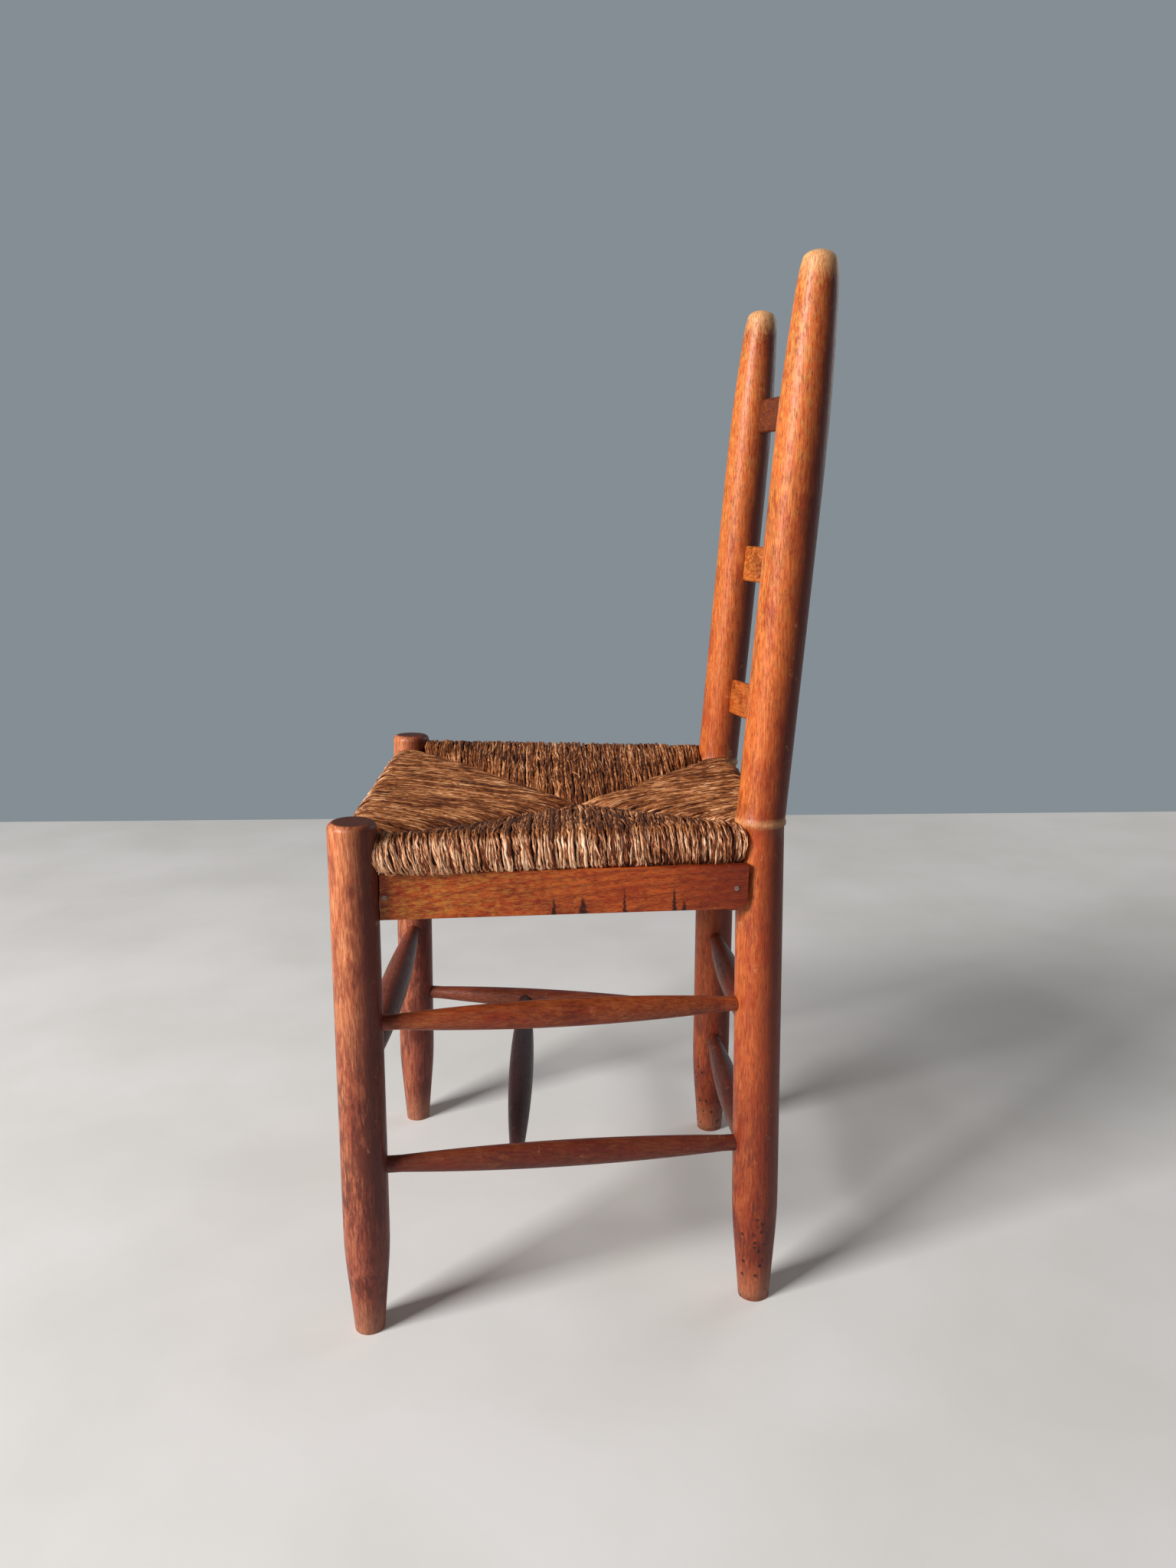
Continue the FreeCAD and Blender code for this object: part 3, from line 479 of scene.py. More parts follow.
@dataclass(frozen=True)
class TwistedRush:
    """Dried bulrush, twisted by hand into strands and woven damp.

    Each strand is a bundle of thin leaves, so it is streaked along its twist. Where it turns
    over a rail its outer face is painted pale straw as lit, palest at the front where the light
    falls; on top it has darkened to brown with golden flecks.
    """

    name: str = "twisted_bulrush"
    on_top: tuple = ((0.10, "#3A1404"), (0.42, "#84461C"), (0.70, "#CC8A56"), (0.96, "#F4C69C"))
    on_edge: tuple = ((0.00, "#3A1404"), (0.20, "#8A4018"), (0.44, "#EDB284"), (0.80, "#FFDEBE"))
    leaf_mm: float = 1.2
    fleck_mm: float = 1.8
    patch_mm: float = 34.0
    front_mm: float = -190.0
    roughness: float = 0.5
    ior: float = 1.35
    relief_share: float = 0.6
    relief_mm: float = 0.6

    def material(self) -> bpy.types.Material:
        """Builds the rush finish, which reads the strands' own attributes.

        Returns:
            The material.
        """
        material, add, given = new_material(self.name)
        fibre, tone, turn = (
            add("ShaderNodeAttribute", attribute_name=name).outputs[output]
            for name, output in (("fibre", "Vector"), ("tone", "Fac"), ("turn", "Fac"))
        )
        place = given["Object"]
        leaves = flecks(add, fibre, self.leaf_mm, 9.0, 2.0)
        spots = flecks(add, fibre, self.fleck_mm, 5.0, 3.0)
        patches = flecks(add, place, self.patch_mm, 1.0, 3.0)
        shade = total((tone, 0.5), (spots, 1.2), (leaves, 0.7), (patches, 0.7))
        # Painted light: the rolled edges are palest at the front, where the light falls, and
        # browner towards the back.
        behind = ("SUBTRACT", add("split", place).outputs[1], self.front_mm * MM)
        shade = add("SUBTRACT", ("SUBTRACT", shade, 1.12), product(behind, turn, 0.5))
        on_top, on_edge = (("ramp", shade, *stops) for stops in (self.on_top, self.on_edge))
        relief = ("ADD", leaves, product(spots, 0.6))
        # Painted light: turn mixes in the pale edge colours where a roll's outer face is lit.
        surface = {
            "Base Color": ("mix", turn, on_top, on_edge),
            "Roughness": ("ADD", self.roughness, product(leaves, 0.25)),
            "IOR": self.ior,
            "Normal": ("bump", relief, self.relief_share, self.relief_mm * MM),
        }
        return end_material(material, add, surface)


@dataclass(frozen=True)
class CloudedFinish:
    """A finish that is clouded between two tints. Each kind says how it takes the light."""

    name: str
    tints: tuple
    cloud_mm: float
    detail: float

    def light(self, clouds: bpy.types.Node) -> dict:
        """What the shader gets besides its colour, as a rule from the clouds."""
        raise NotImplementedError

    def material(self) -> bpy.types.Material:
        """Builds the finish.

        Returns:
            The material.
        """
        material, add, given = new_material(self.name)
        clouds = flecks(add, given["Object"], self.cloud_mm, 1.0, self.detail)
        surface = {"Base Color": ("ramp", clouds, *self.tints), **self.light(clouds)}
        return end_material(material, add, surface)


@dataclass(frozen=True)
class RushStuffing(CloudedFinish):
    """Broken rush packed inside the seat, seen only between strands: dull and dusty, and painted
    nearly black as the shade between them.
    """

    name: str = "packed_rush_stuffing"
    # Painted shade: nearly black, for the gaps between strands.
    tints: tuple = ((0.35, "#1E0F07"), (0.75, "#4A2B17"))
    cloud_mm: float = 4.0
    detail: float = 3.0

    def light(self, clouds: bpy.types.Node) -> dict:
        """Matt, with clumps that stand out."""
        return {"Roughness": 0.9, "Normal": ("bump", clouds, 0.8, 0.001)}


@dataclass(frozen=True)
class WireNail(CloudedFinish):
    """Drawn steel nail, its head filed bright by the hammer and spotted with rust."""

    name: str = "drawn_steel_nail"
    tints: tuple = ((0.50, "#8F8373"), (0.66, "#5A3622"))
    cloud_mm: float = 1.2
    detail: float = 2.0
    roughness: tuple = ((0.50, 0.4), (0.66, 0.8))
    metallic: tuple = ((0.50, 0.35), (0.66, 0.1))

    def light(self, clouds: bpy.types.Node) -> dict:
        """The rust is duller than the steel, and hardly a metal."""
        rough, metal = (("ramp", clouds, *stops) for stops in (self.roughness, self.metallic))
        return {"Roughness": rough, "Metallic": metal}


@dataclass(frozen=True)
class PaleFloor(CloudedFinish):
    """Smooth pale screed: matt, with faint clouds left by the float."""

    name: str = "floated_screed"
    tints: tuple = ((0.35, "#E2DFDA"), (0.65, "#ECE9E6"))
    cloud_mm: float = 260.0
    detail: float = 5.0

    def light(self, clouds: bpy.types.Node) -> dict:
        """Matt all over."""
        return {"Roughness": 0.85}


# ---------------------------------------------------------------- wooden pieces


POST_WOOD = OiledWood(
    "turned_fruitwood_post",
    body="#D05C1E",
    sap="#EC8642",
    heart="#7A280D",
    low="#84301A",
    worn="#F2BA80",
    gold="#E0A04C",
    ring_depth=0.18,
    streak_mm=2.2,
    gold_share=0.55,
    low_from_mm=560.0,
    low_to_mm=160.0,
    low_share=0.9,
    foot_from_mm=240.0,
    foot_share=0.3,
    tip_from_mm=903.0,
    band_mm=451.0,
    worm_mm=95.0,
)
LEG_WOOD = OiledWood(
    "turned_fruitwood_leg",
    body="#CC6838",
    sap="#EC9C68",
    heart="#6A2010",
    low="#843C30",
    worn="#E8AC80",
    gold="#D08A50",
    flush="#8E3216",
    ring_depth=0.25,
    ring_slant=0.06,
    streak_mm=2.4,
    low_from_mm=470.0,
    low_to_mm=90.0,
    low_share=0.9,
    side_shade_share=0.1,
    foot_from_mm=340.0,
    foot_share=0.1,
    end_share=1.0,
)
RUNG_WOOD = OiledWood(
    "turned_fruitwood_rung",
    body="#A4481F",
    sap="#D2763C",
    heart="#4C150D",
    low="#3C1919",
    worn="#DDA272",
    low_from_mm=330.0,
    low_to_mm=150.0,
    rear_shade="#36100C",
    rear_shade_share=0.7,
    low_share=0.9,
    ring_mm=2.8,
    blotch_mm=30.0,
    foot_from_mm=60.0,
)
# Painted shade: the rungs and the stretcher that stand in the chair's own shade get darker copies
# of the rung wood.
SHADED_RUNG_WOOD = replace(
    RUNG_WOOD, name="shaded_fruitwood_rung", body="#6E2C1A", sap="#98512F", heart="#34100C"
)
STRETCHER_WOOD = replace(
    SHADED_RUNG_WOOD,
    name="blackened_fruitwood_stretcher",
    body="#30140F",
    sap="#48211A",
    heart="#1C0A08",
    gold="#5A2C1C",
    flush="#30120C",
    gold_share=0.3,
)
SLAT_WOOD = OiledWood(
    "sawn_fruitwood_slat",
    body="#BE561B",
    sap="#DE7A32",
    heart="#681D08",
    low="#BE561B",
    worn="#E6A868",
    rear_shade_share=0.6,
    roughness=0.38,
)
# Painted shade: the top slat is a redder, darker copy of the slat wood, as if in the near post's
# shadow.
TOP_SLAT_WOOD = replace(
    SLAT_WOOD, body="#5A200E", sap="#76341A", heart="#36100A", gold="#804218", flush="#5C180A"
)
APRON_WOOD = OiledWood(
    "sawn_fruitwood_board",
    body="#CA4E18",
    sap="#E87A30",
    heart="#621606",
    low="#CA4E18",
    worn="#DC9A5C",
    gold="#E09A40",
    ring_mm=6.4,
    ring_depth=0.55,
    blotch_mm=30.0,
    gold_share=0.9,
    line_share=0.6,
    rear_shade_share=0.6,
    side_shade_share=0.0,
)
# The left board has five old saw cuts in its lower edge.
CUT_APRON_WOOD = replace(
    APRON_WOOD,
    notches=(
        (-26.5, 18.0, 3.2),
        (-2.1, 18.0, 5.2),
        (33.3, 24.0, 1.9),
        (76.8, 25.0, 2.6),
        (85.3, 12.0, 2.8),
    ),
    gold_base=0.8,
    gold_to_mm=30.0,
    dark_end=(70.0, 135.0),
)
RAIL_WOOD = OiledWood(
    "riven_ash_rail",
    body="#B08A5C",
    sap="#C9A879",
    heart="#7C5B38",
    low="#B08A5C",
    worn="#D9BE95",
    roughness=0.6,
)

# The wood of each piece, by how its name starts. The first start that fits counts.
WOODS = {
    "front_leg": LEG_WOOD,
    "back_post": POST_WOOD,
    "side_rung": RUNG_WOOD,
    "cross_stretcher": STRETCHER_WOOD,
    "front_rung": SHADED_RUNG_WOOD,
    "back_rung": SHADED_RUNG_WOOD,
    "slat_top": TOP_SLAT_WOOD,
    "slat": SLAT_WOOD,
    "apron_left": CUT_APRON_WOOD,
    "apron": APRON_WOOD,
    "seat_rail": RAIL_WOOD,
}


@dataclass
class WoodenPieces:
    """Every stick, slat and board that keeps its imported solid, and the nails in the boards."""

    nails: str = "apron_nails"
    first_turn: float = 47.0
    turn_step: float = 83.0
    pith_near: float = 26.0
    pith_step: float = 17.0
    pith_span: float = 30.0
    log_step: float = 137.0

    @staticmethod
    def grain(node: str) -> Grain:
        """Which way the fibres of a piece run, which its name tells."""
        if node.startswith(("front_leg", "back_post")):
            return Grain.UPRIGHT
        return Grain.DEPTHWISE if node.endswith(("left", "right")) else Grain.SIDEWAYS

    def pith(self, node: str, grain: Grain, order: int) -> tuple[float, float, float]:
        """Where the growth rings of one piece are centred.

        Args:
            node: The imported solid's name.
            grain: Which way its fibres run.
            order: The piece's number, which sets how far off and which way the pith lies.

        Returns:
            The mapping's place in millimetres: it takes the piece to its pith.
        """
        low, high = (Vector(corner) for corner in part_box(node))
        turn = Matrix.Identity(3)
        for angle, axis in zip(grain.value, "XYZ"):
            turn = Matrix.Rotation(angle, 3, axis) @ turn
        centre = turn @ ((low + high) / 2) / MM
        heading = math.radians(self.first_turn + self.turn_step * order)
        reach = self.pith_near + (order * self.pith_step) % self.pith_span
        across = -centre.x + reach * math.cos(heading)
        deep = -centre.y + reach * math.sin(heading)
        return across, deep, self.log_step * order

    def dress(self) -> None:
        """Gives each packed wooden solid its own cut of its wood, and the nails their steel."""
        order = 0
        for node, piece in sorted(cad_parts.items()):
            wood = next((wood for start, wood in WOODS.items() if node.startswith(start)), None)
            if node == self.nails:
                finish = WireNail().material()
            elif wood:
                order += 1
                grain = self.grain(node)
                finish = wood.material(node, grain, self.pith(node, grain, order))
            else:
                continue
            if wood is POST_WOOD:
                BentPost().stand_for(node, finish)
            else:
                for place in piece.material_slots:
                    place.material = finish
            LOG.info("%s: %s", node, finish.name)


@dataclass
class BentPost:
    """A back post: turned foot and shaft, the ring at its bend, and the slim domed tip.

    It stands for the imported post, which is up to 1.6 mm fuller at its tip's shoulder and up to
    2.7 mm slimmer at the dome. The outline gives heights along the post and its radius there.
    """

    slot: str = "turned_wood"
    foot: tuple[float, float] = (161.0, 157.0)
    bend: tuple[float, float] = (140.0, 155.0)
    tip: tuple[float, float] = (137.0, 192.0)
    bend_height: float = 450.0
    height: float = 920.0
    easing: float = 5.0
    foot_outline: tuple = ((0, 14.2), (31, 16.7), (62, 19.2), (76, 20.1), (90, 20.7), (106, 20.9))
    ring_outline: tuple = (
        (446, 20.9),
        (447.2, 21.7),
        (448.6, 22.35),
        (450, 22.5),
        (451.4, 22.35),
        (452.8, 21.9),
        (454, 21.4),
    )
    upper_outline: tuple = ((600, 21.7), (740, 21.8), (790, 21.5), (825, 20.6), (850, 19.5))
    tip_outline: tuple = ((870, 18.5), (890, 17.2), (903, 16.1))
    dome: tuple[float, float] = (910.5, 14.7)
    dome_degrees: tuple[int, int, int] = (0, 89, 11)
    longest_step: float = 12.0
    around: int = 48

    def outline(self) -> list[tuple[float, float]]:
        """The post's height and radius from the floor to just under its tip.

        Returns:
            Pairs of height and radius, with points added so that no step is a long one.
        """
        knots = [*self.foot_outline, *self.ring_outline, *self.upper_outline, *self.tip_outline]
        heights, radii = (np.array(column, float) for column in zip(*knots))
        wanted = set(heights)
        for low, high in zip(heights, heights[1:]):
            steps = math.ceil((high - low) / self.longest_step)
            wanted.update(np.linspace(low, high, 1 + steps))
        line = sorted(wanted)
        pairs = list(zip(line, np.interp(line, heights, radii)))
        low, wide = self.dome
        for turn in np.radians(np.arange(*self.dome_degrees)):
            rise = (self.height - low) * math.sin(turn)
            pairs.append((low + rise, wide * math.cos(turn)))
        return pairs

    def axis(self, height: float) -> tuple[Vector, Vector]:
        """The middle of the left post at a height, and the way that it runs there.

        Args:
            height: The height above the floor.

        Returns:
            The place and the direction.
        """
        if height < self.bend_height:
            share = height / self.bend_height
            place = Vector(self.foot).lerp(Vector(self.bend), share)
        else:
            share = (height - self.bend_height) / (self.height - self.bend_height)
            place = Vector(self.bend).lerp(Vector(self.tip), share)
        lower = Vector((*self.bend, self.bend_height)) - Vector((*self.foot, 0.0))
        upper = Vector((*self.tip, self.height)) - Vector((*self.bend, self.bend_height))
        turned = 0.5 + 0.5 * math.tanh((height - self.bend_height) / self.easing)
        way = lower.normalized().lerp(upper.normalized(), turned).normalized()
        return Vector((*place, height)), way

    def build(self, word: str) -> bpy.types.Object:
        """Turns one post and lays it in the scene.

        Args:
            word: Which side it stands on.

        Returns:
            The post.
        """
        side = 1 if word == "left" else -1
        shape = bmesh.new()
        rings = []
        for height, radius in self.outline():
            middle, way = self.axis(height)
            first = Vector((1, 0, 0)).cross(way).normalized()
            second = way.cross(first)
            ring = []
            for step in range(self.around):
                angle = 2 * math.pi * step / self.around
                point = middle + (first * math.cos(angle) + second * math.sin(angle)) * radius
                point.z = max(point.z, 0.0) if height else 0.0
                point.x *= side
                ring.append(shape.verts.new(point * MM))
            rings.append(ring)
        for one, two in zip(rings, rings[1:]):
            for corners in zip(one, one[1:] + one[:1], two[1:] + two[:1], two):
                shape.faces.new(corners)
        shape.faces.new(rings[0])
        peak = self.axis(self.height)[0]
        pole = shape.verts.new(Vector((peak.x * side, peak.y, peak.z)) * MM)
        last = rings[-1]
        for one, two in zip(last, last[1:] + last[:1]):
            shape.faces.new((one, two, pole))
        for face in shape.faces:
            face.smooth = len(face.verts) < 5
        return shape_in_scene(f"turned_back_post_{word}", shape)

    def stand_for(self, node: str, finish: bpy.types.Material) -> None:
        """Lets the finely turned post stand for a packed one.

        Args:
            node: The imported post.
            finish: The post's wood.
        """
        post = self.build(node.removeprefix("back_post_"))
        post.data.materials.append(finish)
        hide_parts(node)
        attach(post, BODY)


# ---------------------------------------------------------------- rush seat


@dataclass(frozen=True)
class RushField:
    """One of the seat's four triangles: the strands that turn over one rail.

    The rail runs from start to end. Each strand leaves it along inward, level, and ends in the
    seam, which runs from either end of the rail to the middle of the seat.
    """

    name: str
    start: tuple[float, float, float]
    end: tuple[float, float, float]
    inward: tuple[float, float]
    start_gap: float
    end_gap: float
    strands: int

    def shares(self, span: float) -> tuple[float, float]:
        """Where the first and the last strand lie along a rail of that length, as shares."""
        return self.start_gap / span, 1 - self.end_gap / span


@dataclass
class RushSeat:
    """The woven seat: a strand at a time over the four rails, round a packed core."""

    front_rail: tuple[float, float, float] = (210.2, -190.3, 442.5)
    back_rail: tuple[float, float, float] = (140.8, 155.1, 433.5)
    centre: tuple[float, float] = (0.0, -1.5)
    front_roll: float = 16.2
    back_roll: float = 15.8
    belly: float = 3.0
    belly_back: float = 1.3
    cross_belly: float = 0.6
    drawn_up: tuple[float, float] = (16.0, 0.9)
    overhang: float = 2.4
    fullness: float = 0.74
    front_rise: float = 4.8
    back_rise: float = 18.0
    tuck_mm: float = 12.0
    tuck_reach: float = 90.0
    tuck_ease: float = 1.2
    pinch: float = 8.5
    seam_tuck: float = 0.5
    seam_lift: float = 1.0
    hollow: float = 0.8
    strand_radius: float = 1.58
    radius_spread: float = 0.24
    lump_depth: float = 0.16
    lump_mm: float = 13.0
    strand_sides: int = 6
    twist_per_mm: float = 0.16
    side_strands: int = 104
    front_strands: int = 127
    back_strands: int = 79
    side_gaps: tuple[float, float] = (21.6, 20.6)
    front_gap: float = 21.8
    back_gap: float = 21.4
    centre_top: float = 432.5
    centre_bottom: float = 423.0
    crown: float = 0.6
    run_mm: float = 15.0
    run_ease: float = 1.3
    seam_mm: float = 2.0
    wrap_steps: int = 10
    drift_group: int = 6
    spacing_mm: float = 0.35
    wander_mm: float = 0.55
    lift_mm: float = 0.45
    fan_mm: float = 6.0
    fan_reach: float = 30.0
    fan_ease: float = 1.5
    slants: tuple[float, float, float] = (8.0, 3.2, 2.2)
    slant_places: tuple[float, float, float] = (0.0, 0.45, 1.0)
    edge_turn: tuple[float, float] = (0.36, 0.14)
    edge_from: float = 0.30
    edge_fade: float = 0.35
    leaves_per_strand: int = 12
    leaf_length: tuple[float, float] = (13.0, 46.0)
    leaf_girth: tuple[float, float] = (0.24, 0.46)
    leaf_from: float = 0.30
    leaf_clear: tuple[float, float] = (2.0, 1.0)
    leaf_aside: float = 1.2
    leaf_askew: float = 2.2
    leaf_lift: tuple[float, float] = (-0.1, 0.35)
    leaf_bed: float = 0.75
    leaf_places: tuple[float, ...] = (0.0, 0.14, 0.38, 0.62, 0.86, 1.0)
    leaf_tuck: tuple[float, ...] = (-1.3, 0.0, 0.35, 0.35, 0.0, -1.3)
    leaf_taper: tuple[float, ...] = (0.25, 0.75, 1.0, 1.0, 0.75, 0.25)
    core_inset: float = 1.2
    core_rows: int = 25
    core_points: int = 30
    core_weld: float = 0.4
    seed: int = 5

    def fields(self) -> list[RushField]:
        """The four triangles of the seat.

        Returns:
            Left, right, front and back, each with its rail, its strands and its gaps at the posts.
        """
        left, back_left = self.front_rail, self.back_rail
        right, back_right = ((-rail[0], *rail[1:]) for rail in (left, back_left))
        front_gaps, back_gaps = (self.front_gap,) * 2, (self.back_gap,) * 2
        return [
            RushField("left", left, back_left, (-1, 0), *self.side_gaps, self.side_strands),
            RushField("right", right, back_right, (1, 0), *self.side_gaps, self.side_strands),
            RushField("front", right, left, (0, 1), *front_gaps, self.front_strands),
            RushField("back", back_right, back_left, (0, -1), *back_gaps, self.back_strands),
        ]

    def seam(self, part: RushField, share: float) -> tuple[float, float, float]:
        """How far a strand runs before it meets the seam, and how high the seam is there.

        Args:
            part: The triangle that the strand belongs to.
            share: The strand's place along the rail, from zero to one.

        Returns:
            The strand's length from the rail, and the seam's top and bottom heights.
        """
        start, end = Vector(part.start), Vector(part.end)
        rail = start.lerp(end, share)
        centre = Vector((*self.centre, 0.0))
        inward = Vector((*part.inward, 0.0))
        along = end - start
        across = Vector((-inward.y, inward.x, 0.0))
        split = (centre - start).dot(across) / along.dot(across)
        near = share / split if share < split else (1 - share) / (1 - split)
        corner = start if share < split else end
        seam = corner.lerp(centre, near)
        length = (seam - rail).dot(inward)
        roll = self.roll(rail.y)
        top = rail.z + roll - self.pinch + self.rise(seam.x, seam.y)
        top -= self.seam_tuck * self.tuck(seam.x, seam.y)
        bottom = rail.z - roll + self.seam_lift
        deep = near**self.hollow
        top += (self.centre_top - top) * deep
        bottom += (self.centre_bottom - bottom) * deep
        return length, top, bottom

    def back_share(self, depth: float) -> float:
        """How far that place lies from the front rail to the back rail, as a share."""
        return (depth - self.front_rail[1]) / (self.back_rail[1] - self.front_rail[1])

    def roll(self, depth: float) -> float:
        """The roll's outer radius at that place from front to back."""
        return self.front_roll + (self.back_roll - self.front_roll) * self.back_share(depth)

    def rise(self, side: float, depth: float) -> float:
        """How much thicker the seat is wound on top: it grows towards the right side.

        Args:
            side: The place from right to left.
            depth: The place from front to back.

        Returns:
            The height that is added there.
        """
        share = self.back_share(depth)
        half = self.front_rail[0] + (self.back_rail[0] - self.front_rail[0]) * share
        most = self.front_rise + (self.back_rise - self.front_rise) * share
        return most * (0.5 - 0.5 * side / half)

    def tuck(self, side: float, depth: float) -> float:
        """How much lower the seat is drawn down beside the right leg and the right post.

        Args:
            side: The place from right to left.
            depth: The place from front to back.

        Returns:
            The height that is taken off there.
        """
        corners = (self.front_rail, self.back_rail)
        apart = min(math.hypot(side + corner[0], depth - corner[1]) for corner in corners)
        return self.tuck_mm * max(0.0, 1 - apart / self.tuck_reach) ** self.tuck_ease

    def strand(self, part: RushField, share: float, inset: float) -> tuple[list, list]:
        """The middle line of one strand: from the seam below, round the rail, to the seam on top.

        Args:
            part: The triangle that the strand belongs to.
            share: Its place along the rail, from zero to one.
            inset: How far the line lies inside the seat's outer surface.

        Returns:
            The points, and each one's angle round the rail: right angles on its flat runs.
        """
        rail = Vector(part.start).lerp(Vector(part.end), share)
        inward = Vector((*part.inward, 0.0))
        up = Vector((0.0, 0.0, 1.0))
        length, top, bottom = self.seam(part, share)
        radius = self.roll(rail.y) - inset
        sideways = abs(part.inward[0])
        rise = self.rise(rail.x, rail.y) - (0.0 if sideways else self.tuck(rail.x, rail.y))
        back = self.back_share(rail.y)
        overhang = self.overhang * sideways * back
        # The first turns beside a front leg are drawn up tight.
        steep, start = self.drawn_up
        slack = min(1.0, max(0.0, back * steep - start)) if sideways else self.cross_belly
        belly = self.belly * slack + self.belly_back * back

        # The flat runs have more points towards the seam, and the last ones dip into it.
        runs = max(3, round(length / self.run_mm))
        stations = [0.0, min(self.seam_mm, 0.1 * length) / length]
        stations += [(k / runs) ** self.run_ease for k in range(1, runs)]
        dip = (bottom + top) / 2

        def run(places: list[float], seam_height: float, height: float) -> list[Vector]:
            """A flat run between the seam and the rail.

            Args:
                places: The shares of the way from the seam at which its points lie.
                seam_height: Its height at the seam.
                height: Its height at the rail.

            Returns:
                The points.
            """
            levels = [seam_height + (height - seam_height) * place**self.crown for place in places]
            return [
                rail + inward * length * (1 - place) + up * ((level if place else dip) - rail.z)
                for place, level in zip(places, levels)
            ]

        points = run(stations, bottom + inset, rail.z - radius - belly)
        turns = [-math.pi / 2] * len(points)
        for step in range(self.wrap_steps + 1):
            angle = -math.pi / 2 + math.pi * step / self.wrap_steps
            over, out = math.sin(angle), math.cos(angle)
            if over < 0:
                over = -((-over) ** self.fullness) * (radius + belly)
                out = max(0.0, out) ** self.fullness * (radius + overhang)
            else:
                over, out = over * (radius + rise), out * (radius + overhang)
            points.append(rail + up * over - inward * out)
            turns.append(angle)
        points += run(stations[::-1], top - inset, rail.z + radius + rise)
        return points, turns + [math.pi / 2] * len(stations)

    def lay_strands(self, part: RushField, dice: np.random.Generator) -> list[tuple]:
        """Lays one triangle's strands side by side, each a little out of line.

        Args:
            part: The triangle to weave.
            dice: The seeded source of the unevenness.

        Returns:
            For each strand its points in millimetres, how far each is turned out over the rail,
            and its thickness there.
        """
        start, end = Vector(part.start), Vector(part.end)
        across = Vector((abs(part.inward[1]), abs(part.inward[0]), 0.0))
        span = abs((end - start).dot(across))
        first, last = part.shares(span)
        drifts = dice.normal(0.0, 1.0, part.strands // self.drift_group + 3)
        lines = []
        for number in range(part.strands):
            share = first + (last - first) * (number + 0.5) / part.strands
            share += dice.normal(0.0, self.spacing_mm) / span
            group, rest = divmod(number, self.drift_group)
            rest /= self.drift_group
            slant = drifts[group] * (1 - rest) + drifts[group + 1] * rest
            slant += float(np.interp(share, self.slant_places, self.slants))
            inset = self.strand_radius + dice.normal(0.0, self.lift_mm)
            points, angles = self.strand(part, share, inset)
            swing = dice.normal(0.0, self.wander_mm, len(points))
            lift = dice.normal(0.0, self.lift_mm * 0.5, len(points))
            # At both ends of a rail the strands fan out towards the post.
            near_start, near_end = (
                max(0.0, 1 - gap * span / self.fan_reach) ** self.fan_ease
                for gap in (share - first, last - share)
            )
            fan = self.fan_mm * (near_end - near_start)
            edge = dice.normal(*self.edge_turn)
            path, turns = [], []
            for index, (point, angle) in enumerate(zip(points, angles)):
                height = point.z - start.lerp(end, share).z
                lean = -0.5 * slant * max(-1.0, min(1.0, height / self.roll(point.y)))
                lean += fan * max(0.0, math.cos(angle))
                path.append(point + across * (lean + swing[index]) + Vector((0, 0, lift[index])))
                # How far each point faces out over the rail: the finish paints these outer faces
                # pale, as lit.
                turned = (math.cos(angle + edge) - self.edge_from) / self.edge_fade
                turns.append(min(1.0, max(0.0, turned)))
            lines.append((np.array(path), np.array(turns), np.ones(len(path))))
        return lines

    @staticmethod
    def reach(path: np.ndarray) -> np.ndarray:
        """How far along a line of points each point lies."""
        steps = np.linalg.norm(np.diff(path, axis=0), axis=1)
        return np.concatenate([[0.0], np.cumsum(steps)])

    def lay_leaves(
        self, part: RushField, lines: list[tuple], dice: np.random.Generator
    ) -> list[tuple]:
        """Lays loose ends of leaf along the strands, askew and tucked in at both ends.

        Args:
            part: The triangle they lie on.
            lines: Its strands.
            dice: The seeded source of the unevenness.

        Returns:
            The same three lists for each leaf.
        """
        across = np.array([abs(part.inward[1]), abs(part.inward[0]), 0.0])
        facing = np.sign(np.cross(across, (*part.inward, 0.0))[2])
        places, tuck, taper = map(np.array, (self.leaf_places, self.leaf_tuck, self.leaf_taper))
        clear_start, clear_end = self.leaf_clear
        leaves = []
        for _ in range(self.leaves_per_strand * len(lines)):
            path, turns, _ = lines[dice.integers(len(lines))]
            reach = self.reach(path)
            length = dice.uniform(*self.leaf_length)
            room = reach[-1] - (clear_start + clear_end)
            along = dice.uniform(self.leaf_from, 1.0) * room - length / 2 + length * places
            if along[0] < clear_start or along[-1] > reach[-1] - clear_end:
                continue
            at = np.stack([np.interp(along, reach, path[:, axis]) for axis in range(3)], axis=1)
            out = np.cross(across, np.gradient(at, axis=0)) * facing
            out /= np.linalg.norm(out, axis=1)[:, None]
            sideways = dice.normal(0.0, self.leaf_aside)
            sideways += dice.normal(0.0, self.leaf_askew) * (places - 0.5)
            height = self.strand_radius * self.leaf_bed + tuck + dice.uniform(*self.leaf_lift)
            at = at + across * sideways[:, None] + out * height[:, None]
            turned = np.interp(along, reach, turns)
            leaves.append((at, turned, taper * dice.uniform(*self.leaf_girth)))
        return leaves

